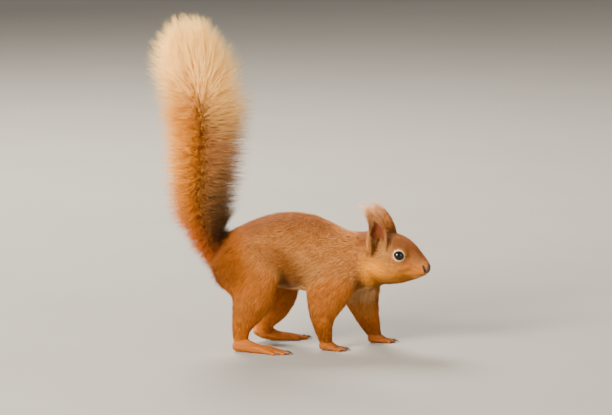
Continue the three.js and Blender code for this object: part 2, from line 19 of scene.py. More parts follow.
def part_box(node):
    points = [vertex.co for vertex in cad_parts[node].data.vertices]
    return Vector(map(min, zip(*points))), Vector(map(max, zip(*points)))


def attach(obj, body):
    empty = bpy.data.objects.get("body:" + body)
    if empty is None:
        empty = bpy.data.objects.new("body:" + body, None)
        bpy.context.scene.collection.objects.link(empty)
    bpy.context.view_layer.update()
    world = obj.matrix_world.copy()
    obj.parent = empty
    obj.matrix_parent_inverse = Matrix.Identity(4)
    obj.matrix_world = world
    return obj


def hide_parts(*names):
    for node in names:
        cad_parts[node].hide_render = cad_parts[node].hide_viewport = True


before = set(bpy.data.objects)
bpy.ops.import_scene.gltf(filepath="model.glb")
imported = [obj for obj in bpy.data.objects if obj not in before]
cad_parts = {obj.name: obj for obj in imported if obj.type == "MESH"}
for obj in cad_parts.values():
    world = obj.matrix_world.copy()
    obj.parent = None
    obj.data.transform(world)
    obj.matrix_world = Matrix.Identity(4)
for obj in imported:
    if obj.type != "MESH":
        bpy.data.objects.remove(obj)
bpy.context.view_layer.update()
bpy.ops.object.select_all(action="DESELECT")

MM = 0.001
SEED = 7
SIDES = {"right": -1, "left": 1}

# %% [markdown]
# ## Which solids are flesh
# The skin has to know what part of the animal each of its points belongs to, because hair is
# longer on the flank than on the nose. The table says it once for each part: how deep the coat
# is, how long one tuft is, how wide, how thickly the tufts stand, how smooth the flesh below is,
# and which way the hair runs. Head, feet and ears work out their own direction later on.

# %% The parts of the coat
#               depth length width density smooth run of the hair
COAT_PARTS = {
    "trunk": (4.0, 8.5, 0.28, 1.0, 1.0, (-1.0, 0.0, -0.36)),
    "neck": (3.6, 8.5, 0.28, 1.1, 1.0, (-1.0, 0.0, -0.40)),
    "head": (2.6, 6.5, 0.25, 2.0, 0.30, (-1.0, 0.0, 0.0)),
    "ear": (0.4, 3.0, 0.22, 2.4, 0.06, (-0.3, 0.0, 1.0)),
    "hind_thigh": (3.4, 11.0, 0.30, 1.1, 0.9, (-0.50, 0.0, -0.85)),
    "hind_shank": (2.4, 9.0, 0.28, 1.2, 0.4, (-0.22, 0.0, -1.0)),
    "hind_foot": (0.5, 3.2, 0.22, 2.2, 0.04, (1.0, 0.0, -0.1)),
    "upper_arm": (3.0, 10.0, 0.30, 1.1, 0.8, (-0.38, 0.0, -0.95)),
    "forearm": (1.8, 7.5, 0.26, 1.4, 0.35, (-0.05, 0.0, -1.0)),
    "fore_paw": (0.45, 3.0, 0.22, 2.2, 0.04, (1.0, 0.0, -0.1)),
}
PART_NAMES = list(COAT_PARTS)
DEPTH, LENGTH, WIDTH, DENSITY, SMOOTH, RUN = range(6)


def part_of(node):
    """The coat part that a node's name starts with, as its place in PART_NAMES."""
    return next((i for i, name in enumerate(PART_NAMES) if node.startswith(name)), -1)


flesh = [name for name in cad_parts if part_of(name) >= 0 and "tuft" not in name]
plume_nodes = ["tail_base", "tail_middle", "tail_tip"]
print("flesh:", len(flesh), "plume:", len(plume_nodes))

# %% [markdown]
# ## Helpers
# Blender hands a mesh's points over as one long array. Working on the whole array at once is
# what keeps a model with this much hair quick to make. Its operators act on whatever is selected,
# so two more helpers select a piece, or go into edit mode and out again.


# %% Points, normals and edges
def points_of(mesh):
    flat = np.empty(len(mesh.vertices) * 3)
    mesh.vertices.foreach_get("co", flat)
    return flat.reshape(-1, 3)


def normals_of(mesh):
    flat = np.empty(len(mesh.vertices) * 3, dtype=np.float32)
    mesh.vertices.foreach_get("normal", flat)
    return flat.reshape(-1, 3).astype(float)


def move_points(mesh, points):
    mesh.vertices.foreach_set("co", points.ravel())
    mesh.update()


def edges_of(mesh):
    flat = np.empty(len(mesh.edges) * 2, dtype=np.int32)
    mesh.edges.foreach_get("vertices", flat)
    return flat.reshape(-1, 2)


def mesh_sizes(piece):
    return f"{piece.name}: {len(piece.data.vertices)} points, {len(piece.data.polygons)} faces"


print(mesh_sizes(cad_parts["trunk"]))


# %% Smoothing
SMOOTHING = 0.5  # of the way to the neighbours' average, in one round


def unit(vectors):
    length = np.linalg.norm(vectors, axis=-1, keepdims=True)
    return vectors / np.maximum(length, 1e-12)


def smoothstep(low, high, value):
    t = np.clip((value - low) / (high - low), 0, 1)
    return t * t * (3 - 2 * t)


def mean_of_neighbours(values, edges):
    """Each point's average over the points that share an edge with it."""
    count = len(values)
    ends = np.concatenate([edges[:, 0], edges[:, 1]])
    others = np.concatenate([edges[:, 1], edges[:, 0]])
    share = np.maximum(np.bincount(ends, minlength=count), 1)
    wide = values.reshape(count, -1)
    sums = [np.bincount(ends, weights=wide[others, k], minlength=count) for k in range(wide.shape[1])]
    return (np.stack(sums, axis=1) / share[:, None]).reshape(values.shape)


def relax(values, edges, rounds):
    for _ in range(rounds):
        values = values + SMOOTHING * (mean_of_neighbours(values, edges) - values)
    return values


# %% Selecting and editing
def select_only(*pieces):
    bpy.ops.object.select_all(action="DESELECT")
    for piece in pieces:
        piece.select_set(True)
    bpy.context.view_layer.objects.active = pieces[0]


@contextmanager
def editing_all():
    """Edit mode with the whole mesh selected, and back to object mode afterwards."""
    bpy.ops.object.mode_set(mode="EDIT")
    bpy.ops.mesh.select_all(action="SELECT")
    yield
    bpy.ops.object.mode_set(mode="OBJECT")


def apply_all(piece):
    bpy.context.view_layer.objects.active = piece
    for modifier in list(piece.modifiers):
        bpy.ops.object.modifier_apply(modifier=modifier.name)


# %% [markdown]
# ## The head's own frame
# The head is turned towards the animal's right and tipped down. Everything on it, such as lids,
# nose and whiskers, is easier to place in a frame of its own, where +X runs from nape to nose.

# %% Head frame
HEAD_AT = Vector((70.5, -2, 82.5)) * MM
HEAD_TURN = Euler((0, math.radians(15), math.radians(-17)), "XYZ")
head_rotation = np.array(HEAD_TURN.to_matrix())

EYE_RADIUS = 5.4 * MM
NOSE_TIP = Vector((54.0, 0, 0.4)) * MM


def to_head(points):
    """World points in the head's frame."""
    return (np.asarray(points) - np.array(HEAD_AT)) @ head_rotation


def from_head(points):
    return np.asarray(points) @ head_rotation.T + np.array(HEAD_AT)


def middle_of(node):
    low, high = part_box(node)
    return (low + high) / 2


eye_at = {side: middle_of(f"eye_{side}") for side in SIDES}
print("eyes at", eye_at)

# %% [markdown]
# ## One skin
# A real skin has no joints, so the parts of flesh are copied, made a hair's breadth fatter to
# close the cuts between them, and melted into one surface by the Remesh modifier. A ball in each
# eye socket fills it, and a thin tapering core carries the tail. A sculptor would do the same
# with Remesh in sculpt mode.

# %% The tail's core
CORE_SMOOTHNESS = 6  # steps of the curve between two of its points
TAIL_CORE = [  # x, y, z and radius, in mm
    (-52, 0, 84, 6.5),
    (-62, 0, 85, 6.8),
    (-70, 0.4, 93, 6.2),
    (-75, 0.8, 108, 5.2),
    (-78, 1.0, 128, 4.6),
    (-76, 0.8, 156, 4.2),
    (-75, 0.4, 185, 3.8),
    (-76, 0.0, 212, 3.3),
    (-79.5, -0.4, 232, 2.8),
    (-83, -0.8, 248, 2.2),
]


def tail_core():
    """A bent cone along the tail's bones, made as a curve with a round bevel."""
    bpy.ops.curve.primitive_nurbs_path_add()
    curve = bpy.context.object
    spline = curve.data.splines[0]
    spline.points.add(len(TAIL_CORE) - len(spline.points))
    for point, (x, y, z, radius) in zip(spline.points, TAIL_CORE):
        point.co = (x * MM, y * MM, z * MM, 1)
        point.radius = radius
    spline.order_u = 3
    spline.use_endpoint_u = True
    curve.data.resolution_u = CORE_SMOOTHNESS
    curve.data.bevel_depth = MM
    curve.data.use_fill_caps = True
    bpy.ops.object.convert(target="MESH")
    return bpy.context.object


print("core points:", len(TAIL_CORE))


# %% Melt the flesh together
SAME_POINT = 0.01 * MM
CUT_CLOSING = 0.25 * MM
VOXEL = 0.8 * MM
SOCKET_FILL = 4.9 * MM


def flesh_copy(node):
    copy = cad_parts[node].copy()
    copy.data = copy.data.copy()
    bpy.context.scene.collection.objects.link(copy)
    return copy


def make_skin():
    parts = [flesh_copy(node) for node in flesh]
    for side in SIDES:
        bpy.ops.mesh.primitive_uv_sphere_add(radius=SOCKET_FILL, location=eye_at[side])
        parts.append(bpy.context.object)
    parts.append(tail_core())
    select_only(*parts)
    bpy.ops.object.join()
    skin = bpy.context.object
    skin.name = "skin"
    bpy.ops.object.transform_apply()
    with editing_all():
        bpy.ops.mesh.remove_doubles(threshold=SAME_POINT)
    fatten = skin.modifiers.new("close the cuts", "DISPLACE")
    fatten.strength = CUT_CLOSING
    fatten.mid_level = 0
    melt = skin.modifiers.new("melt", "REMESH")
    melt.mode = "VOXEL"
    melt.voxel_size = VOXEL
    apply_all(skin)
    return skin


skin = make_skin()
print(mesh_sizes(skin))

# %% [markdown]
# ## From the coat's outside to the skin
# The solids reach to the tips of the hair, so the skin lies deeper: four millimetres on the
# flank, almost nothing on the toes. Each point of the melted surface first learns which part it
# belongs to, from the solid that is nearest. Then the facets are smoothed away, strongly on the
# round body and hardly at all on toes and ears, and each point moves inwards by its coat's depth.


# %% Find each point's part
def solids_tree(nodes):
    """A search tree over the triangles of some solids, and each triangle's part."""
    points, triangles, parts = [], [], []
    for node in nodes:
        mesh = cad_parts[node].data
        start = len(points)
        points += [vertex.co.copy() for vertex in mesh.vertices]
        for polygon in mesh.polygons:
            triangles.append([start + k for k in polygon.vertices])
            parts.append(part_of(node))
    return BVHTree.FromPolygons(points, triangles), np.array(parts)


def nearest_parts(tree, parts, points):
    return parts[[tree.find_nearest(Vector(point))[2] for point in points]]


def part_values(labels, column):
    table = np.array([row[column] for row in COAT_PARTS.values()])
    return table[labels]


flesh_tree, flesh_parts = solids_tree(flesh)
print("triangles of flesh:", len(flesh_parts))


# %% Keep the largest body
def keep_largest(piece):
    """Deletes the crumbs that a remesh may leave inside."""
    select_only(piece)
    with editing_all():
        bpy.ops.mesh.separate(type="LOOSE")
    loose = sorted(bpy.context.selected_objects, key=lambda one: -len(one.data.vertices))
    for crumb in loose[1:]:
        bpy.data.objects.remove(crumb)
    return loose[0]


skin = keep_largest(skin)
skin.name = "skin"
print("left after the crumbs,", mesh_sizes(skin))

# %% [markdown]
# ## Feet
# The solid feet end in claws, but on the animal a claw is horn and no skin covers it. The same
# sizes that shape the solid toes tell where each toe ends, so the skin that ran out over a claw
# is drawn back into the toe's round end. The claws themselves come later.

# %% Toes, in mm and degrees
FEET = {  # heel, turn in degrees, side, kind of foot
    "hind_right": ((-46.5, -26.5), -20, -1, "hind"),
    "hind_left": ((-29, 26.5), 22, 1, "hind"),
    "fore_right": ((27.5, -20), -6, -1, "fore"),
    "fore_left": ((69.8, 20), 10, 1, "fore"),
}
TOES = {  # how far ahead and inwards a toe starts, its spread and its length
    "hind": [
        (27, 5.1, 24, 10.5),
        (32, 3, 9, 14),
        (33.5, 0.1, 1, 15),
        (32.5, -2.8, -7, 14.2),
        (28, -5, -19, 11.5),
    ],
    "fore": [(8.6, 3.7, 20, 8.6), (10.6, 1.4, 6, 10.6), (10.6, -1.3, -6, 10.4), (8.4, -3.7, -19, 8.8)],
}
TOE_END_HEIGHT = 1.7
CLAW_REACH = 3.2  # how far round a toe's line its claw's skin may lie
CLAW_SPAN = 8  # and how far ahead of the toe's end
DRAWN_BACK = 0.9  # shares of the way back to the toe's end and in to its line
DRAWN_IN = 0.55


def toe_lines():
    """Each toe's end and its direction, seen from above."""
    lines = []
    for (heel_x, heel_y), turn, sign, kind in FEET.values():
        facing = math.radians(turn)
        for ahead, inwards, spread, length in TOES[kind]:
            aside = -inwards * sign
            x = heel_x + ahead * math.cos(facing) - aside * math.sin(facing)
            y = heel_y + ahead * math.sin(facing) + aside * math.cos(facing)
            along = math.radians(turn - spread * sign)
            way = Vector((math.cos(along), math.sin(along), 0))
            lines.append((Vector((x, y, TOE_END_HEIGHT)) + way * length, way, along))
    return lines


def draw_back_claws(points):
    for end, way, _ in toe_lines():
        offset = points - np.array(end) * MM
        ahead = offset @ np.array(way)
        aside = offset - ahead[:, None] * np.array(way)
        near = np.linalg.norm(aside, axis=1) < CLAW_REACH * MM
        over = near & (ahead > 0) & (ahead < CLAW_SPAN * MM)
        back = (ahead[over, None] * DRAWN_BACK) * np.array(way)
        points[over] -= back + aside[over] * DRAWN_IN
    return points


print("toes:", len(toe_lines()))


# %% Smooth the facets
FACET_ROUNDS = 60
BLEND_ROUNDS = 14
THIN_PARTS = ("ear", "hind_foot", "fore_paw")
THIN_SMOOTHING = 0.12  # at most, on ears and feet
TAIL_SMOOTHING = 0.05
TAIL_ABOVE = 92 * MM  # where the skin is the tail's, above and behind
TAIL_BEHIND = -60 * MM

edges = edges_of(skin.data)
points = draw_back_claws(points_of(skin.data))
labels = nearest_parts(flesh_tree, flesh_parts, points)
weights = relax(part_values(labels, SMOOTH), edges, BLEND_ROUNDS)
on_thin = np.isin(labels, [PART_NAMES.index(name) for name in THIN_PARTS])
weights = np.where(on_thin, np.minimum(weights, THIN_SMOOTHING), weights)[:, None]
on_ear = labels == PART_NAMES.index("ear")
in_tail = (points[:, 2] > TAIL_ABOVE) & (points[:, 0] < TAIL_BEHIND)
weights[in_tail] = TAIL_SMOOTHING
for _ in range(FACET_ROUNDS):
    points += SMOOTHING * weights * (mean_of_neighbours(points, edges) - points)
move_points(skin.data, points)
print("facets smoothed in", FACET_ROUNDS, "rounds")

# %% How full the coat is
COAT_ROUNDS = 45
FACE_COAT = (3 * MM, 44 * MM)  # from the nose, where the coat starts and where it is full
EYE_COAT = (6 * MM, 16 * MM)  # the same from the middle of the eye
LEAST_AT_EYE = 0.28  # of the full coat


def face_coat(points):
    """How full the face's coat is, from 0 at the nose and round the eyes to 1 at the nape."""
    to_nose = np.linalg.norm(to_head(points) - np.array(NOSE_TIP), axis=1)
    fullness = smoothstep(*FACE_COAT, to_nose)
    for side in SIDES:
        to_eye = np.linalg.norm(points - np.array(eye_at[side]), axis=1)
        near_eye = LEAST_AT_EYE + (1 - LEAST_AT_EYE) * smoothstep(*EYE_COAT, to_eye)
        fullness = np.minimum(fullness, near_eye)
    return fullness


def coat_field(points, labels, edges, column, face_least):
    """One column of the coat's table over the whole skin, with no step from part to part."""
    values = part_values(labels, column)
    on_head = labels == PART_NAMES.index("head")
    fullness = face_coat(points)
    values = np.where(on_head, face_least + (values - face_least) * fullness, values)
    return relax(values, edges, COAT_ROUNDS)


# %% Lines on the skin
def densify(line, steps=12):
    """Evenly many points along each stretch of a line that is given in mm."""
    line = np.array(line, dtype=float) * MM
    share = np.linspace(0, 1, steps)[:, None]
    return np.concatenate([a * (1 - share) + b * share for a, b in zip(line[:-1], line[1:])])


def distance_to_line(points, line):
    """How far each point is from a line, taken as a row of closely set stops."""
    best = np.full(len(points), np.inf)
    for stop in densify(line):
        best = np.minimum(best, np.linalg.norm(points - stop, axis=1))
    return best


FOLD = [  # the fold in front of the right thigh, from the back down
    (-24, 25, 93),
    (-18.7, 24.2, 87.6),
    (-12.5, 23.8, 79.5),
    (-7, 22, 71.7),
    (-4, 18.8, 64),
    (-4.5, 13, 58),
]
FOLD_STEPS = [(-1, 0), (1, 8)]  # side, and how much further forwards its thigh stands


def distance_to_fold(points, ahead=0):
    """How far each point is from the folds in front of the thighs, or from lines ahead of them."""
    lines = [[(x + step + ahead, y * sign, z) for x, y, z in FOLD] for sign, step in FOLD_STEPS]
    return np.minimum(*[distance_to_line(points, line) for line in lines])


print("fold points:", len(densify(FOLD)))

# %% Sink the skin
SETTLE_ROUNDS = 12
DEPTH_ROUNDS = 5
FOLD_WIDTH = 3.2 * MM
FOLD_DEPTH = 1.9
NOSE_DEPTH = 0.2  # how deep the coat is, in mm, where the face is barest
MOST_ON_EAR = 0.5
MOST_ON_TOES = 0.35
TOES_BELOW = 6 * MM

depth = coat_field(points, labels, edges, DEPTH, NOSE_DEPTH)
depth[on_ear] = np.minimum(depth[on_ear], MOST_ON_EAR)
near_toes = on_thin & (points[:, 2] < TOES_BELOW)
depth[near_toes] = np.minimum(depth[near_toes], MOST_ON_TOES)
depth = relax(depth, edges, DEPTH_ROUNDS)
depth[in_tail] = 0
sink = depth + FOLD_DEPTH * np.exp(-((distance_to_fold(points) / FOLD_WIDTH) ** 2))
move_points(skin.data, points - normals_of(skin.data) * sink[:, None] * MM)
points = points_of(skin.data)
for _ in range(SETTLE_ROUNDS):
    points += SMOOTHING * weights * (mean_of_neighbours(points, edges) - points)
move_points(skin.data, points)
print("skin sunk, coat depth", depth.min().round(2), "to", depth.max().round(2), "mm")

# %% [markdown]
# ## Fewer faces where the body is plain
# Under thick hair the skin may be coarse, so Decimate merges its flattest faces. The bare nose is
# the opposite: its faces are subdivided, because the nostrils and the split lip are narrower than
# a millimetre.

# %% Thin the mesh out and refine the nose
SKIN_TRIANGLES = 140000
FINE_NOSE = 45 * MM  # in the head's frame, where the finer faces start
FINER_ROUNDS = 2


def select_faces(piece, wanted):
    """Selects the faces for which `wanted` is true and goes into edit mode."""
    bpy.context.view_layer.objects.active = piece
    bpy.ops.object.mode_set(mode="EDIT")
    bpy.ops.mesh.select_mode(type="FACE")
    bpy.ops.mesh.select_all(action="DESELECT")
    bpy.ops.object.mode_set(mode="OBJECT")
    piece.data.polygons.foreach_set("select", wanted)
    bpy.ops.object.mode_set(mode="EDIT")


def face_centres(mesh):
    flat = np.empty(len(mesh.polygons) * 3, dtype=np.float32)
    mesh.polygons.foreach_get("center", flat)
    return flat.reshape(-1, 3).astype(float)


thin = skin.modifiers.new("thin out", "DECIMATE")
thin.ratio = SKIN_TRIANGLES / (2 * len(skin.data.polygons))
apply_all(skin)
for _ in range(FINER_ROUNDS):
    select_faces(skin, to_head(face_centres(skin.data))[:, 0] > FINE_NOSE)
    bpy.ops.mesh.subdivide(number_cuts=1, smoothness=0.6)
    bpy.ops.object.mode_set(mode="OBJECT")
print(mesh_sizes(skin))

# %% [markdown]
# ## Nose and lips
# A squirrel's nose pad is bare and dark, with two comma-shaped nostrils that open sideways and a
# groove from between them down to the split upper lip. They are pressed in along short lines,
# the way a clay modeller draws a loop tool through the surface.

# %% Press the nostrils, the groove and the mouth in
PRESSED_LINES = {  # width and depth, then the line on the left side, all in mm in the head's frame
    "nostril": (0.75, 1.2, [(48.6, 5.6, 3.0), (49.6, 5.2, 1.6), (50.3, 4.8, 0.2), (51.1, 4.0, -1.5)]),
    "groove": (0.45, 0.5, [(54.6, 0, 1.2), (54.5, 0, -0.8), (53.6, 0, -2.6), (52.6, 0, -3.8)]),
    "mouth": (
        0.5,
        0.8,
        [(52.4, 0, -3.9), (51, 2.6, -3.9), (48.6, 4.3, -5.2), (45, 5.8, -6.3), (41.4, 7.4, -8.3)],
    ),
}
PRESSED_AHEAD = 36 * MM  # where the muzzle starts


def press(mesh, width, depth, line):
    """Pushes the skin in along a line and its mirror image."""
    points = points_of(mesh)
    inside = to_head(points)
    near = inside[:, 0] > PRESSED_AHEAD
    move = np.zeros(len(points))
    for side in SIDES.values():
        away = distance_to_line(inside[near] * np.array([1, side, 1]), line)
        pushed = depth * MM * np.exp(-((away / (width * MM)) ** 2))
        move[near] = np.maximum(move[near], pushed)
    move_points(mesh, points - normals_of(mesh) * move[:, None])


for name, (width, depth, line) in PRESSED_LINES.items():
    press(skin.data, width, depth, line)
    print("pressed in:", name)

# %% [markdown]
# ## Unwrap
# Smart UV Project lays the skin out flat in islands. Every tuft later takes a tiny patch of this
# same map, at the place of its root, so that a picture baked on it keeps each colour where it
# grows.

# %% Unwrap the skin
select_only(skin)
skin.data.uv_layers.new(name="OFBake")
with editing_all():
    bpy.ops.uv.smart_project(angle_limit=math.radians(66), island_margin=0.002)
bpy.ops.object.shade_smooth()
print("uv maps:", [layer.name for layer in skin.data.uv_layers])

# %% [markdown]
# ## The ears' own frames
# The inner side of an ear is thinly haired and reddish, its back is shaggy. To tell them apart,
# each ear has a frame in which +Z runs up the ear and +X points out of its opening.

# %% Ear frames
EAR_BASE = (8, 14.2, 2)  # in mm in the head's frame, for the left ear
EAR_HEIGHT = 31
EAR_HALF_WIDTH = 7.4
EAR_ROUND = (0.22, 0.75, 0.75)  # where on a sine's hump its outline starts, how far it goes, fullness
EAR_AXIS = (0.7, 2.5)  # the middle line: a share of the half width ahead, mm back at the tip
EAR_INWARD = (0.1, 0.7)  # how far a point has to face the middle line to be in the hollow
EAR_LEAN_BACK = 13
EAR_LEAN_OUT = 5
EAR_TURN = 66


def ear_matrix(side):
    sign = SIDES[side]
    lean = Euler((math.radians(-EAR_LEAN_OUT * sign), math.radians(-EAR_LEAN_BACK), 0), "ZYX")
    turn = Matrix.Rotation(math.radians(EAR_TURN * sign), 3, "Z")
    base = Vector((EAR_BASE[0], EAR_BASE[1] * sign, EAR_BASE[2])) * MM
    return base, np.array(lean.to_matrix() @ turn)


def ear_hollow(inside, normals):
    """How far points of the head's frame, in mm, lie on the hollow side of an ear."""
    hollow = np.zeros(len(inside))
    start, span, fullness = EAR_ROUND
    ahead, back = EAR_AXIS
    for side, sign in SIDES.items():
        base, turn = ear_matrix(side)
        local = (inside - np.array(base) / MM) @ turn
        facing = normals @ turn
        up = np.clip(local[:, 2] / EAR_HEIGHT, 0, 1)
        half = EAR_HALF_WIDTH * np.sin(math.pi * (start + span * up)) ** fullness
        from_middle = local[:, :2] - np.stack([half * ahead - back * up**2, 0 * up], axis=1)
        inward = -(facing[:, :2] * unit(from_middle)).sum(axis=1)
        own = inside[:, 1] * sign > 0
        here = own * smoothstep(*EAR_INWARD, inward) * (local[:, 2] > 0)
        hollow = np.maximum(hollow, here)
    return hollow


print("ears lean back", EAR_LEAN_BACK, "degrees")

# %% [markdown]
# ## What each point knows
# A red squirrel is rufous, darker along the spine, brighter orange on legs and feet, gold on the
# cheeks and creamy white on the belly, the chest and round the eyes. To say where each colour
# grows, every point of the skin first learns a few plain facts: where it lies on the body and on
# the head, which way it faces, which part it belongs to, and how far it is from the eye, the
# mouth and other landmarks. A slow wandering value is mixed in so that no edge is ruled.

# %% Landmarks, in mm
SPOTS = {  # x, z and radius on the side of the head
    "from eye patch": (33.4, 9.0, 6.5),
    "from muzzle": (43.2, 0.6, 5.5),
    "from cheek": (13.5, -12.0, 12.5),
    "from temple": (15.0, 9.0, 9.5),
}
SPOT_EDGE = (1.2, 0.25)  # in radii, where a spot begins and where it is full
LINES = {  # on the left side of the head
    "from nostril": PRESSED_LINES["nostril"][2],
    "from mouth": PRESSED_LINES["mouth"][2],
    "from ear slit": [(7.6, 12.8, 14.0), (9.2, 13.9, 9.4), (9.6, 15.6, 5.0)],
    "from ear front": [(7.8, 7.4, 19.2), (10.2, 9.2, 16.6)],
}
MOUTH_CORNER = [(32.5, 0, -5.4), (35.7, 0, -3.4), (39.4, 0, -0.8)]  # seen from the side
FOLD_SHADE_AHEAD = 9
SHARES = {  # name: parts, rounds of blending into the neighbours
    "body": (["trunk", "neck"], BLEND_ROUNDS),
    "upper legs": (["hind_thigh", "upper_arm"], BLEND_ROUNDS),
    "lower legs": (["hind_shank", "forearm", "fore_paw", "hind_foot"], BLEND_ROUNDS),
    "forearm": (["forearm"], BLEND_ROUNDS),
    "head": (["head"], 6),
    "neck": (["neck"], 6),
    "ear": (["ear"], 3),
}
WANDER_SIZE = 14 * MM
WANDER = 0.12
WANDER_SEED = 11
MOUTH_WANDER = 3  # how many mm the wandering value moves the edge of the mouth's shade
EYE_WANDER = 2  # the same for the eye ring
print("landmarks:", len(SPOTS) + len(LINES))


# %% Facts about the skin's points
DRIFT_WAVES = 6
WAVES_FINER = (0.6, 1.6)  # how many times finer than its size a drift's waves are
DRIFT_PEAK = 1.4  # the usual height of the waves' sum, for which it is evened out


def part_share(labels, edges, names, rounds=BLEND_ROUNDS):
    wanted = np.isin(labels, [PART_NAMES.index(name) for name in names]).astype(float)
    return relax(wanted, edges, rounds)


def drift(points, size, seed):
    """A slow, smooth wandering value from -1 to 1, the same each time for the same seed."""
    rng = np.random.default_rng(seed)
    total = np.zeros(len(points))
    for _ in range(DRIFT_WAVES):
        way = rng.normal(size=3)
        way *= rng.uniform(*WAVES_FINER) / np.linalg.norm(way)
        total += np.sin(points @ way * (2 * math.pi / size) + rng.uniform(0, 2 * math.pi))
    return total / DRIFT_WAVES**0.5 / DRIFT_PEAK


def survey(points, normals, labels, edges):
    """A table of facts, each one a value for every point: places in mm, shares from 0 to 1."""
    inside = to_head(points) / MM
    wander = drift(points, WANDER_SIZE, WANDER_SEED) * WANDER
    facts = dict(zip("xyz", points.T / MM))
    facts["ahead"], _, facts["level"] = inside.T
    facts["up"], facts["down"] = normals[:, 2] + wander, wander - normals[:, 2]
    facts["forwards"] = normals[:, 0] + wander
    facts["medial"] = -normals[:, 1] * np.sign(points[:, 1])
    facts["inwards"] = facts["medial"] + wander
    tilt = (normals @ head_rotation)[:, 2]
    facts["crown"], facts["jaw"] = tilt + wander, wander - tilt

    for name, (parts, rounds) in SHARES.items():
        facts[name] = part_share(labels, edges, parts, rounds)
    hollow = ear_hollow(inside, normals @ head_rotation)
    facts["ear hollow"], facts["ear back"] = facts["ear"] * hollow, facts["ear"] * (1 - hollow)
    facts["rear"] = facts["body"] + facts["upper legs"]
    facts["all"] = np.ones(len(points))

    for name, (x, z, radius) in SPOTS.items():
        away = np.linalg.norm(inside[:, [0, 2]] - np.array((x, z)), axis=1)
        facts[name] = away / radius + wander
    outer = np.stack([inside[:, 0], np.abs(inside[:, 1]), inside[:, 2]], axis=1) * MM
    for name, line in LINES.items():
        facts[name] = distance_to_line(outer, line) / MM
    corner = distance_to_line(inside * [1, 0, 1] * MM, MOUTH_CORNER) / MM
    facts["from mouth corner"] = corner + MOUTH_WANDER * wander
    facts["from fold"] = distance_to_fold(points, FOLD_SHADE_AHEAD) / MM
    from_eye = [np.linalg.norm(points - np.array(eye_at[side]), axis=1) / MM for side in SIDES]
    facts["from eye"] = np.min(from_eye, axis=0) + EYE_WANDER * wander
    return facts


points = points_of(skin.data)
normals = normals_of(skin.data)
edges = edges_of(skin.data)
labels = nearest_parts(flesh_tree, flesh_parts, points)
facts = survey(points, normals, labels, edges)
print("facts for each point:", len(facts))

# %% [markdown]
# ## Where each colour grows
# Each colour has a mask from 0 to 1 over the skin. Two of them paint shade: one is only painted
# shadow, in the nostrils, along the mouth and in the ear's slit, and one mixes the coat's darker
# marks with painted shade in folds, in front of the ears and under the jaw, throat and belly. A row
# of the table is one area: the share of the part it grows on, its strength, and limits, each a fact
# with the values at which the area is gone and at which it is full. The skin and every tuft keep
# the masks as attributes, and one node group paints both.

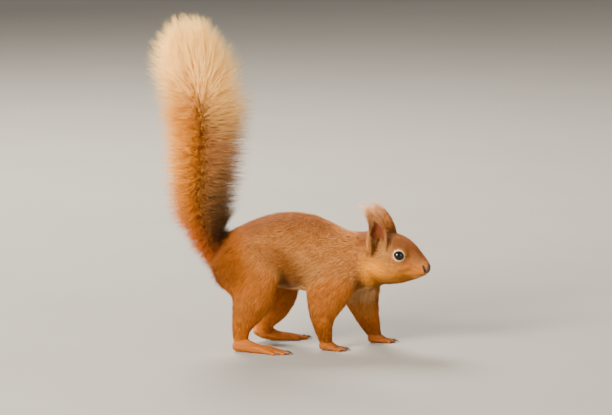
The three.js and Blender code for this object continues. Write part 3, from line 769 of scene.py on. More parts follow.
# %% The areas
EYE_RING = 5.0  # mm from the middle of the eyeball
AREAS = {
    "spine": [
        ("body", 1, ("up", 0.3, 0.95), ("x", 50, 30)),
        ("head", 1, ("crown", 0.1, 0.8), ("ahead", 52, 44)),
    ],
    "cream": [
        ("body", 1, ("down", 0.65, 1.0), ("z", 62, 54), ("x", -34, -10)),  # belly
        ("body", 1, ("down", 0.25, 0.7), ("x", 40, 56), ("z", 55, 48)),  # chest
        ("upper legs", 1, ("inwards", 0.6, 0.95), ("z", 34, 54), ("x", 10, 20)),
        ("forearm", 0.35, ("inwards", 0.75, 1), ("z", 22, 40)),
        ("head", 0.12, ("jaw", 0.75, 1.0), ("ahead", 24, 34)),  # chin
        ("head", 0.2, ("ahead", 40, 46), ("level", -4.6, -6.4)),  # lips
        ("head", 1, ("from eye", EYE_RING + 0.7, EYE_RING - 0.7)),
    ],
    "orange": [
        ("lower legs", 0.65),
        ("lower legs", 0.35, ("z", 40, 14)),
        ("upper legs", 0.6, ("z", 98, 56)),
        ("rear", 1, ("x", -28, -48), ("z", 48, 72)),
        ("head", 0.7, ("ahead", 30, 40), ("level", 6, 0)),  # muzzle
    ],
    "gold": [
        ("head", 0.5, ("level", 4, -8)),
        ("all", 1, ("from cheek", *SPOT_EDGE)),
    ],
    "dark": [("ear hollow", 1, ("level", 9, 15))],
    # Darker before the eye, on the crown, along the upper back and low on the feet; the other rows of
    # this mask are painted shade, each named above its row.
    "umber_and_shade": [
        ("head", 0.9, ("from eye patch", *SPOT_EDGE)),
        # painted shadow below the whisker pad, at the mouth's corner
        ("head", 0.55, ("from mouth corner", 3.0, 0.4)),
        # painted shade under the jaw
        ("head", 0.8, ("jaw", 0.25, 0.85)),
        # painted shade on the lower jaw
        ("head", 0.75, ("level", -4.5, -8.0), ("ahead", 27, 36)),  # lower jaw
        ("head", 0.5, ("crown", 0.0, 0.7), ("ahead", 52, 42)),
        # painted shadow in the notch in front of each ear
        ("head", 0.8, ("from ear front", 2.6, 0.6)),
        # painted shade low on the sides of the ears that face each other
        ("ear back", 0.9, ("level", 25, 16), ("medial", 0.1, 0.6)),
        # painted shade under the throat
        ("body", 0.6, ("down", 0.2, 0.7), ("z", 44, 54), ("x", 46, 56)),  # throat
        # painted shade in the folds in front of the thighs
        ("body", 0.9, ("from fold", 16, 4), ("z", 104, 78)),
        # painted shade under the belly, between the legs
        ("body", 0.8, ("down", 0.28, 0.7), ("x", 24, -10)),  # belly, between the legs
        ("body", 0.35, ("z", 84, 106), ("x", 50, 30)),  # back
        # painted shade on the rump, below the tail
        ("rear", 0.9, ("x", -28, -48), ("z", 48, 72)),  # rump
        # painted shade on the forward-facing side of the thighs and upper arms
        ("upper legs", 0.25, ("forwards", 0.35, 0.95), ("z", 84, 50)),
        # painted shade low on the forearms
        ("lower legs", 0.7, ("z", 34, 12), ("x", 10, 20)),  # forearms
        ("lower legs", 0.45, ("z", 13, 6)),  # feet
    ],
    # painted shadow in the nostrils, along the mouth line and in the ear's slit
    "pit_shadow": [
        ("all", 1, ("from nostril", 1.0, 0.5)),
        ("all", 0.7, ("from mouth", 0.6, 0.3)),
        ("all", 1, ("from ear slit", 1.9, 1.0)),
    ],
    "temple": [
        ("head", 1, ("from temple", *SPOT_EDGE), ("from ear slit", 3, 7)),
        # paler low in the ear's hollow: painted light that lifts the shadow of its deep pocket
        ("ear hollow", 1, ("level", 16, 10)),
        ("body", 0.6, ("z", 90, 72), ("x", -26, -8), ("x", 44, 22)),  # flank
    ],
    "bare": [
        ("head", 1, ("ahead", 51.0, 51.9), ("level", -3.4, -2.6)),  # nose pad
        ("head", 1, ("from nostril", 1.6, 1.0), ("level", -3.4, -2.6)),
    ],
}
ADDED_UP = ["orange"]  # its areas meet on the legs; of the others the strongest one counts
BELOW_CREAM = ["orange", "gold", "umber_and_shade", "temple"]
NECK_GOLD = 0.8
MUZZLE_GREY = 0.5  # how much of the gold the muzzle loses
print("areas:", sum(len(rows) for rows in AREAS.values()))


# %% Keep the masks on the skin
def area(facts, part, strength, *limits):
    value = facts[part] * strength
    for fact, gone, full in limits:
        value = value * smoothstep(gone, full, facts[fact])
    return value


def make_masks(facts):
    masks = {}
    for name, rows in AREAS.items():
        combine = np.sum if name in ADDED_UP else np.max
        masks[name] = np.clip(combine([area(facts, *row) for row in rows], axis=0), 0, 1)
    masks["gold"] *= 1 - area(facts, "head", MUZZLE_GREY, ("from muzzle", *SPOT_EDGE))
    masks["gold"] *= np.clip(facts["head"] + facts["neck"] * NECK_GOLD, 0, 1)
    for name in BELOW_CREAM:
        masks[name] *= 1 - masks["cream"]
    return masks


def keep_values(mesh, table):
    for name, values in table.items():
        layer = mesh.attributes.new(name, "FLOAT", "POINT")
        layer.data.foreach_set("value", np.asarray(values, dtype=np.float32))


masks = make_masks(facts)
keep_values(skin.data, masks)
for name, values in masks.items():
    print(f"{name}: {100 * values.mean():.0f}% of the skin")

# %% [markdown]
# ## Which way the hair lies
# Hair runs away from the nose, back along the body, down the legs and forwards over the feet. The
# table gave each part its run. Here the head and feet get theirs, the runs are laid flat on the
# skin, and averaging over the neighbours makes one run flow into the next.

# %% The run of the hair
UP_EAR = np.array([-0.22, 0, 1.0]) @ head_rotation.T
HEAD_LIFT = -0.05  # how much the head's hair turns downwards
EYE_RIM = 5.5 * MM  # from the middle of the eye, where the hair runs straight away from it
EYE_SWIRL = 9.5 * MM  # and where it no longer takes notice of the eye
SWIRL_PULL = 1.6
FOOT_DROP = -0.25
FLOW_ROUNDS = 40
FLOW = 0.5  # how much of its neighbours' run a point takes over in one round
FINE_FLOW = 0.12  # the same on the head and the ears


def flat_on(vectors, normals):
    along = (vectors * normals).sum(axis=1, keepdims=True)
    return unit(vectors - along * normals)


def hair_runs(points, normals, labels, edges):
    runs = unit(np.array([row[RUN] for row in COAT_PARTS.values()]))[labels]
    inside = to_head(points)
    on_head = labels == PART_NAMES.index("head")
    away = unit(inside - np.array(NOSE_TIP)) + np.array([0, 0, HEAD_LIFT])
    runs[on_head] = (away @ head_rotation.T)[on_head]
    for side in SIDES:
        from_eye = points - np.array(eye_at[side])
        distance = np.linalg.norm(from_eye, axis=1)
        pull = SWIRL_PULL * smoothstep(EYE_SWIRL, EYE_RIM, distance) * on_head
        runs += pull[:, None] * unit(from_eye)
    for _, turn, sign, kind in FEET.values():
        foot = labels == PART_NAMES.index("hind_foot" if kind == "hind" else "fore_paw")
        foot &= points[:, 1] * sign > 0
        runs[foot] = (math.cos(math.radians(turn)), math.sin(math.radians(turn)), FOOT_DROP)
    on_ear = labels == PART_NAMES.index("ear")
    runs[on_ear] = UP_EAR
    runs = flat_on(runs, normals)
    flow = np.where(on_head | on_ear, FINE_FLOW, FLOW)[:, None]
    for _ in range(FLOW_ROUNDS):
        runs = runs + flow * (mean_of_neighbours(runs, edges) - runs)
        runs = flat_on(runs, normals)
    return runs


runs = hair_runs(points, normals, labels, edges)
print("hair runs laid over", len(runs), "points")

# %% [markdown]
# ## Roots
# Roots are strewn over the skin's triangles, more of them where the coat is fine. Going through
# the triangles in order with one root for each equal share of area keeps bald spots and heaps
# away, which plain chance would leave. Each root takes over what the skin knows at that place.


# %% The skin's triangles
def triangles_of(mesh):
    mesh.calc_loop_triangles()
    corners = np.empty(len(mesh.loop_triangles) * 3, dtype=np.int32)
    loops = np.empty(len(mesh.loop_triangles) * 3, dtype=np.int32)
    mesh.loop_triangles.foreach_get("vertices", corners)
    mesh.loop_triangles.foreach_get("loops", loops)
    return corners.reshape(-1, 3), loops.reshape(-1, 3)


def uvs_of(mesh):
    flat = np.empty(len(mesh.loops) * 2, dtype=np.float32)
    mesh.uv_layers["OFBake"].data.foreach_get("uv", flat)
    return flat.reshape(-1, 2)


BARE_BEHIND = -62 * MM  # where no coat roots on the tail's core
corners, corner_loops = triangles_of(skin.data)
skin_tree = BVHTree.FromPolygons([Vector(point) for point in points], corners.tolist())
skin_uvs = uvs_of(skin.data)
triangle_uvs = skin_uvs[corner_loops].mean(axis=1)
triangle_points = points[corners]
spans = triangle_points[:, 1:] - triangle_points[:, :1]
areas = np.linalg.norm(np.cross(spans[:, 0], spans[:, 1]), axis=1) / 2 / MM**2
share_at = part_values(labels, DENSITY) * (1 - masks["bare"])
on_tail = (points[:, 2] > TAIL_ABOVE) & (points[:, 0] < BARE_BEHIND)
share_at[on_tail] = 0  # the tail grows its own hair
print("skin area", round(areas.sum()), "mm2")

# %% [markdown]
# ## How long the hair grows
# The table's lengths are spread over the whole skin and averaged, so that no step shows where a
# leg meets the body. The rump's hair is longer and looser below the tail, and the backs of the
# ears are shaggier than their hollows.

# %% Coat fields, in mm
NOSE_COAT = {"depth": (DEPTH, 0.45), "length": (LENGTH, 1.7), "width": (WIDTH, 0.18)}  # at the barest
LEAST_DEPTH = 0.65
RUMP = np.array([-62, 0, 74]) * MM
RUMP_SHAPE = [1, 0.8, 0.7]  # along x, y and z, less reaches further
RUMP_EDGE = (26 * MM, 6 * MM)
EAR_ROUNDS = 4  # of blending
HOLLOW_SHORTER = 1.4
EXTRA_COAT = {  # on top of the table's coat
    "rump": {"depth": 2.0, "length": 10.0, "loose": 2.0, "locks": 0.3},
    "legs": {"loose": 0.22, "locks": 0.22},
    "ear backs": {"depth": 0.9, "length": 6.5, "loose": 0.7, "locks": 0.25},
}

ear_share = part_share(labels, edges, ["ear"], EAR_ROUNDS)
shares = {
    "rump": smoothstep(*RUMP_EDGE, np.linalg.norm((points - RUMP) * RUMP_SHAPE, axis=1)),
    "legs": part_share(labels, edges, ["hind_thigh", "hind_shank", "upper_arm", "forearm"]),
    "ear backs": ear_share * (1 - masks["dark"]),
}
coat = {
    name: coat_field(points, labels, edges, column, least)
    for name, (column, least) in NOSE_COAT.items()
}
coat["loose"] = coat["locks"] = np.zeros(len(points))
for place, extras in EXTRA_COAT.items():
    for name, extra in extras.items():
        coat[name] = coat[name] + extra * shares[place]
coat["length"] -= HOLLOW_SHORTER * ear_share * masks["dark"]
coat["depth"] = np.maximum(coat["depth"], LEAST_DEPTH)
triangle_depth = coat["depth"][corners].mean(axis=1)
print("longest hair of the coat", coat["length"].max().round(1), "mm")


# %% Strew the roots
def strew(wanted, density, seed):
    """Roots on the triangles where `wanted` holds, `density` for each mm2 of a plain part."""
    rng = np.random.default_rng(seed)
    weight = areas * share_at[corners].mean(axis=1) * wanted[corners].mean(axis=1)
    total = np.cumsum(weight)
    count = int(total[-1] * density)
    picks = (np.arange(count) + rng.random(count)) * (total[-1] / count)
    chosen = np.minimum(np.searchsorted(total, picks), len(weight) - 1)
    a, b = rng.random(count), rng.random(count)
    flip = a + b > 1
    a[flip], b[flip] = 1 - a[flip], 1 - b[flip]
    mix = np.stack([1 - a - b, a, b], axis=1)

    def at_roots(values):
        return np.einsum("nk,nk...->n...", mix, values[corners[chosen]])

    return {
        "place": at_roots(points),
        "normal": unit(at_roots(normals)),
        "run": unit(at_roots(runs)),
        "uv": np.einsum("nk,nkc->nc", mix, skin_uvs[corner_loops[chosen]]),
        "coat": {name: at_roots(values) for name, values in coat.items()},
        "masks": {name: at_roots(values) for name, values in masks.items()},
    }


# %% [markdown]
# ## One tuft
# A tuft is a slim closed spindle: a point for its root, one or two three-sided rings and a point
# for its tip. With six faces it is about the plainest solid that still bends and tapers, which
# matters when there are two hundred thousand of them. They are made in one go, since a copy at a
# time would take hours.

# %% A tuft's points, faces and patch of the map
RING_TURN = np.radians([90, 210, 330])
FLATNESS = 0.65  # a tuft's thickness as a share of its width
PATCH = 0.0015  # half of a tuft's patch on the skin's map
PATCH_CORNERS = [[-1, 0], [0.3, 0.2], [1, 0]]  # of each ring, in halves of the patch
MAP_MARGIN = 0.0005


def tuft_faces(rings):
    """The triangles of one tuft: a fan at the root, walls between rings and a fan at the tip."""
    tip = 1 + 3 * rings
    faces = []
    for j in range(3):
        k = (j + 1) % 3
        faces.append((0, 1 + k, 1 + j))
        for ring in range(rings - 1):
            low = 1 + 3 * ring
            faces.append((low + j, low + k, low + 3 + k))
            faces.append((low + j, low + 3 + k, low + 3 + j))
        faces.append((tip - 3 + j, tip - 3 + k, tip))
    return np.array(faces)


def tuft_points(path, widths, side, flatness):
    """A root, a ring about each of the path's inner points, and a tip, for every tuft."""
    ways = unit(path[:, 2:] - path[:, :-2])
    across = unit(side[:, None] - (side[:, None] * ways).sum(axis=2, keepdims=True) * ways)
    lift = np.cross(ways, across)
    cos, sin = np.cos(RING_TURN)[None, :, None], np.sin(RING_TURN)[None, :, None]
    rows = [path[:, :1]]
    for ring in range(ways.shape[1]):
        half = widths[:, ring, None, None] / 2
        out = cos * across[:, ring, None] + flatness * sin * lift[:, ring, None]
        rows.append(path[:, ring + 1, None] + half * out)
    rows.append(path[:, -1:])
    return np.concatenate(rows, axis=1)


def patches(uv, rings):
    """Each tuft's points on the skin's map: a small diamond at the place of its root."""
    corner = np.concatenate([[[0, -1]], np.tile(PATCH_CORNERS, (rings, 1)), [[0, 1]]])
    spots = np.clip(uv[:, None] + PATCH * corner[None], MAP_MARGIN, 1 - MAP_MARGIN)
    return spots.reshape(-1, 2)


print("faces of a tuft:", len(tuft_faces(1)), "with one ring,", len(tuft_faces(2)), "with two")


# %% Build a piece of tufts
def triangle_mesh(name, verts, indices):
    mesh = bpy.data.meshes.new(name)
    mesh.vertices.add(len(verts))
    mesh.vertices.foreach_set("co", verts.ravel().astype(np.float32))
    mesh.loops.add(len(indices) * 3)
    mesh.loops.foreach_set("vertex_index", indices.ravel().astype(np.int32))
    mesh.polygons.add(len(indices))
    mesh.polygons.foreach_set("loop_start", np.arange(0, len(indices) * 3, 3, dtype=np.int32))
    mesh.update(calc_edges=True)
    mesh.shade_smooth()
    return mesh


def build_tufts(name, path, widths, side, uv, table, flatness=FLATNESS):
    """A mesh of tufts. `path` holds each tuft's points from root to tip, one row for each."""
    count, stations = path.shape[:2]
    rings = stations - 2
    verts = tuft_points(path, widths, side, flatness)
    size = verts.shape[1]
    indices = (np.arange(count)[:, None, None] * size + tuft_faces(rings)[None]).reshape(-1, 3)
    mesh = triangle_mesh(name, verts.reshape(-1, 3), indices)

    spots = patches(uv, rings)
    mesh.uv_layers.new(name="OFBake").data.foreach_set("uv", spots[indices.ravel()].ravel())
    length_share = np.concatenate([[0], np.repeat(np.arange(1, rings + 1) / (rings + 1), 3), [1]])
    keep_values(mesh, {key: np.repeat(values, size) for key, values in table.items()})
    keep_values(mesh, {"tip": np.tile(length_share, count)})
    piece = bpy.data.objects.new(name, mesh)
    bpy.context.scene.collection.objects.link(piece)
    print(f"{name}: {count} tufts, {len(indices)} faces")
    return piece


# %% [markdown]
# ## Lying hair
# A tuft leaves the skin at a slant, bends over and lies along the body, so its middle and its tip
# are both set above the nearest piece of skin. Neighbours lean a little towards one another,
# which gives the coat its locks, and slow drifts in direction and shade keep it from looking
# combed.

# %% Turn, lift and gather
ABOVE_FLOOR = 0.2 * MM


def turn_about(vectors, axes, angles):
    """Turns each vector about its own axis, to which it is at a right angle."""
    return vectors * np.cos(angles)[:, None] + np.cross(axes, vectors) * np.sin(angles)[:, None]


def above_skin(places, reach):
    """Points over the skin nearest to `places`, at a share of how deep the coat is there."""
    out = np.empty_like(places)
    for i, (place, share) in enumerate(zip(places, reach)):
        spot, normal, face, _ = skin_tree.find_nearest(Vector(place))
        out[i] = spot + normal * (share * triangle_depth[face] * MM)
    out[:, 2] = np.maximum(out[:, 2], ABOVE_FLOOR)
    return out


def nearest_leader(places, rng, per_lock):
    """For each place, which of a few randomly chosen leading ones is nearest."""
    leaders = rng.choice(len(places), max(1, len(places) // per_lock), replace=False)
    tree = KDTree(len(leaders))
    for i, leader in enumerate(leaders):
        tree.insert(places[leader], i)
    tree.balance()
    return leaders[[tree.find(place)[1] for place in places]]


# %% Lay the tufts
TUFTS_PER_LOCK = 13
GUARD_SHARE = 0.25  # of the tufts that are longer, thinner and stand out further
GUARD_LENGTH = 1.2
GUARD_WIDTH = 0.8
GUARD_REACH = (0.8, 1.15)  # how high the tips stand, as shares of the coat's depth
UNDER_REACH = (0.3, 0.95)
LENGTHS = (0.6, 1.1)
WIDTHS = (0.75, 1.25)
SWIRL = (34 * MM, 3, 0.10)  # size, seed and strength, in radians, of how the run wanders
SPREAD = (0.13, 0.20)  # radians that single tufts turn where the coat is tight, and more if loose
LAID = 0.92  # of a tuft's length, how far it reaches along the skin
MIDDLE = (0.4, 0.65)  # where its middle lies: shares of that reach and of its tip's height
LOOSE_LIFT = 0.32  # of the length, how far loose tips stand off at most
SUNK = 0.25 * MM  # how deep the root sits in the skin
SHADES = (13 * MM, 8, 0.3)  # size, seed and strength of lighter and darker patches
TUFT_SHADE = 0.8
LOCK_SHADE = 0.25


def wandering(places, size, seed, strength):
    return drift(places, size, seed) * strength


def lay_coat(name, wanted, density, seed):
    rng = np.random.default_rng(seed)
    roots = strew(wanted, density, seed + 1)
    place, normal, grown = roots["place"], roots["normal"], roots["coat"]
    count = len(place)
    guard = rng.random(count) < GUARD_SHARE
    length = grown["length"] * MM * rng.uniform(*LENGTHS, count) * np.where(guard, GUARD_LENGTH, 1.0)
    reach = np.where(guard, rng.uniform(*GUARD_REACH, count), rng.uniform(*UNDER_REACH, count))
    spread = (SPREAD[0] + SPREAD[1] * grown["loose"]) * rng.normal(0, 1, count)
    run = turn_about(roots["run"], normal, wandering(place, *SWIRL) + spread)
    tips = place + run * (length * LAID)[:, None]
    leader = nearest_leader(place, rng, TUFTS_PER_LOCK)
    tips += grown["locks"][:, None] * (tips[leader] - tips)

    middles = above_skin(place + (tips - place) * MIDDLE[0], reach * MIDDLE[1])
    lift = length * grown["loose"] * rng.uniform(0, LOOSE_LIFT, count)
    tips = above_skin(tips, reach) + normal * lift[:, None]
    path = np.stack([place - normal * SUNK, middles, tips], axis=1)

    lock_shade = rng.normal(0, 1, count)[leader] * (LOCK_SHADE + grown["locks"])
    own_shade = wandering(place, *SHADES) + rng.normal(0, TUFT_SHADE, count)
    table = dict(roots["masks"], shade=own_shade + lock_shade)
    width = grown["width"] * MM * rng.uniform(*WIDTHS, count) * np.where(guard, GUARD_WIDTH, 1.0)
    return build_tufts(name, path, width[:, None], np.cross(run, normal), roots["uv"], table)


def on_parts(names, side):
    """1 on some parts, on one side of the animal or, for side 0, on both."""
    wanted = np.isin(labels, [PART_NAMES.index(name) for name in names]).astype(float)
    if side:
        wanted *= points[:, 1] * side > 0
    return wanted


COAT_PIECES = {  # name: parts, side, tufts for each mm2, material slot
    "coat_flank_right": (["trunk"], -1, 3.85, "coat_back"),
    "coat_flank_left": (["trunk"], 1, 3.3, "coat_back"),
    "coat_neck": (["neck"], 0, 3.8, "coat_back"),
    "coat_hind_legs": (["hind_thigh", "hind_shank"], 0, 3.25, "coat_legs"),
    "coat_forelegs": (["upper_arm", "forearm"], 0, 3.3, "coat_legs"),
    "coat_head": (["head"], 0, 2.85, "coat_head"),
    "coat_ears": (["ear"], 0, 2.4, "ear_hair"),
    "coat_feet": (["hind_foot", "fore_paw"], 0, 1.3, "feet"),
}
coats = {}
for number, (name, (parts, side, density, slot)) in enumerate(COAT_PIECES.items()):
    coats[name] = lay_coat(name, on_parts(parts, side), density, SEED + 10 * number)

# %% [markdown]
# ## The tail's plume
# A squirrel's tail is mostly air: thin hairs three to four centimetres long stand out to all
# sides of a slim core, a little thinner along two partings. Low on the tail they stand straight
# out, and at the top they fan upwards. Rays cast inwards from beyond the solid plume tell how far
# each hair may reach, and the curve of each is a quadratic arc that starts along the core and
# bends outwards.

# %% Measure the plume
PLUME_CUTS = (140 * MM, 218 * MM)
CUT_REACH = 0.5 * MM  # how near to a cut its faces lie
CUT_FLATNESS = 0.9  # the least upright part of a cut face's normal


def plume_tree():
    """The plume's outside, without the flat faces where its solids were cut apart."""
    corners, faces = [], []
    for node in plume_nodes:
        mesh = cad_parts[node].data
        for polygon in mesh.polygons:
            at_cut = any(abs(polygon.center.z - cut) < CUT_REACH for cut in PLUME_CUTS)
            if at_cut and abs(polygon.normal.z) > CUT_FLATNESS:
                continue
            faces.append([len(corners) + k for k in range(len(polygon.vertices))])
            corners += [mesh.vertices[k].co.copy() for k in polygon.vertices]
    return BVHTree.FromPolygons(corners, faces)


core_table = np.array(TAIL_CORE, dtype=float) * MM
core_steps = np.linalg.norm(np.diff(core_table[:, :3], axis=0), axis=1)
core_reach = np.concatenate([[0], np.cumsum(core_steps)])


def along_core(reach):
    """The core's middle line and radius at a distance from its start."""
    return np.stack([np.interp(reach, core_reach, core_table[:, k]) for k in range(4)], axis=1)


outside = plume_tree()
print("core length", round(core_reach[-1] / MM), "mm")

# %% Where the plume's hairs root
TAIL_HAIRS = 38000
TAIL_START = 3 * MM
CROWDING = 0.92  # below 1 more of the hairs root near the tip
TAIL_TOP = (0.66, 1.0)  # shares of the core's length between which the hair fans out
AXIS_SPAN = 14 * MM  # over which the core's direction is averaged
SIDEWAYS = 0.05  # how strongly the hairs draw away from the two partings
SIDEWAYS_LOST = 0.8  # how much of that the top loses
ROOT_SINK = 0.85  # of the core's radius, where the hairs root


def root_hairs(rng):
    """Where each hair roots, how far round the core, and the directions there."""
    share = (np.arange(TAIL_HAIRS) + rng.random(TAIL_HAIRS)) / TAIL_HAIRS
    reach = TAIL_START + share**CROWDING * (core_reach[-1] - TAIL_START)
    height = (reach - TAIL_START) / (core_reach[-1] - TAIL_START)
    top = smoothstep(*TAIL_TOP, height)
    here = along_core(reach)
    axis = unit(along_core(reach + AXIS_SPAN)[:, :3] - along_core(reach - AXIS_SPAN)[:, :3])
    forwards = unit(np.cross(np.tile([0.0, 1.0, 0.0], (TAIL_HAIRS, 1)), axis))
    aside = np.cross(axis, forwards)
    turn = rng.uniform(0, 2 * math.pi, TAIL_HAIRS)
    turn -= SIDEWAYS * (1 - SIDEWAYS_LOST * top) * np.sin(2 * turn)
    out = np.cos(turn)[:, None] * forwards + np.sin(turn)[:, None] * aside
    root = here[:, :3] + out * here[:, 3:] * ROOT_SINK
    return {"root": root, "out": out, "axis": axis, "turn": turn, "height": height, "top": top}


print("hairs of the plume:", TAIL_HAIRS)

# %% [markdown]
# Low on the tail the hairs stand out like the vanes of a feather. Further up they lean along the
# tail more and more, and at its top they fan out, so each hair's way is a mix of outwards and
# along the core, with some chance in it.

# %% Which way the hairs stand
RISE = 0.18  # how much a hair leans along the core, at the tail's foot
RISE_MIDDLE = 0.16  # what the middle adds
MIDDLE_SPAN = (0.15, 0.6)
RISE_TOP = 2.2  # and the top
RISE_POWER = 1.5
RISE_SPREAD = (0.22, 0.75)  # at the foot, and what the top adds
STRAY = 0.10
STRAY_SHARE = 0.4  # of it, at the foot


def hair_ways(hairs, rng):
    top = hairs["top"]
    rise = RISE + RISE_MIDDLE * smoothstep(*MIDDLE_SPAN, hairs["height"])
    rise = rise + RISE_TOP * top**RISE_POWER
    rise *= np.exp(rng.normal(0, RISE_SPREAD[0] + RISE_SPREAD[1] * top))
    way = unit(hairs["out"] + rise[:, None] * hairs["axis"])
    stray = rng.normal(0, STRAY, (TAIL_HAIRS, 3)) * (STRAY_SHARE + top)[:, None]
    return unit(way + stray)


print("rise at the tail's top:", RISE + RISE_MIDDLE + RISE_TOP)

# %% [markdown]
# Half of the hairs end near the plume's outside. A quarter are shorter and fill the inside, and
# the rest pass it as loose ends. The hair is a little fuller than the solids at the tail's foot,
# along its sides and at its top.

# %% How far the hairs reach
RAY_FROM = 80 * MM
LEAST_REACH = 12 * MM
FOOT_WIDER = 0.18  # how much wider than the solids, with the shares of the height where it is
FOOT_SPAN = (0.42, 0.08)
FOOT_ROUND = 0.25  # of it on the side away from the body
TOP_WIDER = 0.08
TOP_SPAN = (0.5, 0.8)
TOP_MIDDLE = 0.3  # how far forwards or back a hair has to point to be longer there
SIDE_WIDER = 0.13
SIDE_FROM = (0.04, 0.2)
SIDE_UNTIL = (0.85, 0.6)
PARTING_SHORTER = 0.02
PARTING_WIDTH = 0.45  # in radians
KINDS = [  # share of the hairs, then the least and the most of the plume's reach they grow to
    (0.50, 0.84, 1.04),
    (0.26, 0.50, 0.84),
    (0.24, 1.00, 1.34),
]
OVERSHOOT = (10 * MM, 3 * MM)  # how far a hair may pass the solid plume, sideways and upwards


def ray_reach(starts, ways):
    """How far each ray goes to the plume's outside, measured from beyond it and inwards."""
    reach = np.full(len(starts), LEAST_REACH)
    for i, (start, way) in enumerate(zip(starts, ways)):
        spot, _, _, distance = outside.ray_cast(Vector(start + way * RAY_FROM), Vector(-way))
        if spot:
            reach[i] = max(LEAST_REACH, RAY_FROM - distance)
    return reach


def grown_share(rng):
    """How much of the plume's reach each hair grows to."""
    kind = rng.choice(len(KINDS), TAIL_HAIRS, p=[share for share, _, _ in KINDS])
    return np.choose(kind, [rng.uniform(least, most, TAIL_HAIRS) for _, least, most in KINDS])


def hair_lengths(hairs, way, rng):
    height, turn = hairs["height"], hairs["turn"]
    limit = ray_reach(hairs["root"], way)
    at_foot = smoothstep(*FOOT_SPAN, height) * (FOOT_ROUND + np.clip(np.cos(turn), 0, 1))
    at_side = smoothstep(*SIDE_FROM, height) * smoothstep(*SIDE_UNTIL, height)
    limit *= 1 + FOOT_WIDER * at_foot
    at_top = smoothstep(*TOP_SPAN, height) * (np.abs(way[:, 0]) - TOP_MIDDLE)
    limit *= 1 + TOP_WIDER * at_top
    limit *= 1 + SIDE_WIDER * at_side * np.abs(np.cos(turn))
    from_parting = np.arccos(np.clip(np.abs(np.sin(turn)), 0, 1))
    in_parting = 1 - smoothstep(0.0, PARTING_WIDTH, from_parting)
    parted = 1 - PARTING_SHORTER * (1 - hairs["top"]) * in_parting
    beyond = OVERSHOOT[0] + np.clip(way[:, 2], 0, 1) * (OVERSHOOT[1] - OVERSHOOT[0])
    most = limit * grown_share(rng) * parted
    return np.minimum(most, limit + beyond * rng.random(TAIL_HAIRS))


print("kinds of hair in the plume:", len(KINDS))

# %% [markdown]
# Real hairs cling together at their tips. So each tip is drawn towards the nearest of a few
# leading ones, and the plume is cut by height into three pieces, as its solids are.

# %% Grow the plume
TAIL_WIDTH = 0.27 * MM
HAIRS_PER_LOCK = 15
GATHERED = (0.3, 0.5)  # how far tips draw together, at most at the foot, and what the top adds
TIP_STRAY = 0.9 * MM
BEND_AT = 0.45  # of the length
BEND_RISE = 1.1
BEND_STRAY = 0.8 * MM
BEND_LOOSE = (0.5, 1.5)  # shares of it at the foot, and what the top adds
ARC_POINTS = 4
TAIL_WIDTHS = (0.7, 1.3)
RING_WIDTHS = np.array([1.0, 0.8])  # of the ring near the root and the one near the tip
SHADE_PATCHES = (12 * MM, 21, 0.4)  # size, seed and strength of lighter and darker patches
SINGLE_SHADE = 0.6
PLUME_PIECES = ["tail_hair_low", "tail_hair_middle", "tail_hair_top"]


def nearest_map_places(places):
    """Where on the skin's map the skin nearest to each place lies."""
    return triangle_uvs[[skin_tree.find_nearest(Vector(place))[2] for place in places]]


def arc(start, bend, end, stations):
    s = np.linspace(0, 1, stations)[None, :, None]
    return (1 - s) ** 2 * start[:, None] + 2 * s * (1 - s) * bend[:, None] + s**2 * end[:, None]


def hair_arcs(hairs, way, rng):
    root, top = hairs["root"], hairs["top"]
    length = hair_lengths(hairs, way, rng)[:, None]
    tip = root + way * length
    gathered = rng.uniform(0, GATHERED[0], TAIL_HAIRS) + GATHERED[1] * top
    leader = nearest_leader(tip, rng, HAIRS_PER_LOCK)
    tip = tip + gathered[:, None] * (tip[leader] - tip)
    tip += rng.normal(0, TIP_STRAY, (TAIL_HAIRS, 3))
    bend = root + unit(hairs["out"] + BEND_RISE * hairs["axis"]) * (BEND_AT * length)
    loose = (BEND_LOOSE[0] + BEND_LOOSE[1] * top)[:, None]
    bend += rng.normal(0, BEND_STRAY, (TAIL_HAIRS, 3)) * loose
    return arc(root, bend, tip, ARC_POINTS)


def grow_plume(seed):
    rng = np.random.default_rng(seed)
    hairs = root_hairs(rng)
    way = hair_ways(hairs, rng)
    path = hair_arcs(hairs, way, rng)
    widths = TAIL_WIDTH * rng.uniform(*TAIL_WIDTHS, TAIL_HAIRS)[:, None] * RING_WIDTHS
    shade = wandering(path[:, -1], *SHADE_PATCHES) + rng.normal(0, SINGLE_SHADE, TAIL_HAIRS)
    table = {"back": np.cos(hairs["turn"]), "shade": shade}
    uv = nearest_map_places(hairs["root"])
    side = np.cross(way, hairs["axis"])
    pieces = []
    upwards = np.argsort(hairs["height"])
    for name, chosen in zip(PLUME_PIECES, np.array_split(upwards, len(PLUME_PIECES))):
        own = {key: values[chosen] for key, values in table.items()}
        piece = build_tufts(name, path[chosen], widths[chosen], side[chosen], uv[chosen], own)
        pieces.append(piece)
    return pieces


plume = grow_plume(SEED + 101)

# %% [markdown]
# ## Ear tufts
# In its winter coat a red squirrel carries a brush of long hair on each ear, which fans up and
# back past the tip. The hairs root on the ear's back, reach about as far as the solid tuft's
# surface and gather in wisps.

# %% Roots and tips of the ear tufts
EAR_HAIRS = 1150
EAR_HAIR_FROM = {"right": 18, "left": 9}  # mm up the ear
IN_HOLLOW = 0.3  # of the ear's dark mask, above which no long hair roots
TIP_CHOICE = 3  # points strewn over the solid tuft for each hair
NEAR_TIPS = 1.5  # how many of them are too near to be a tip
EAR_REACH = (0.6, 1.15)
EAR_SWEEP = {"right": Vector((-6.5, 0, 0.5)) * MM, "left": Vector((-3.5, 0, 1.0)) * MM}


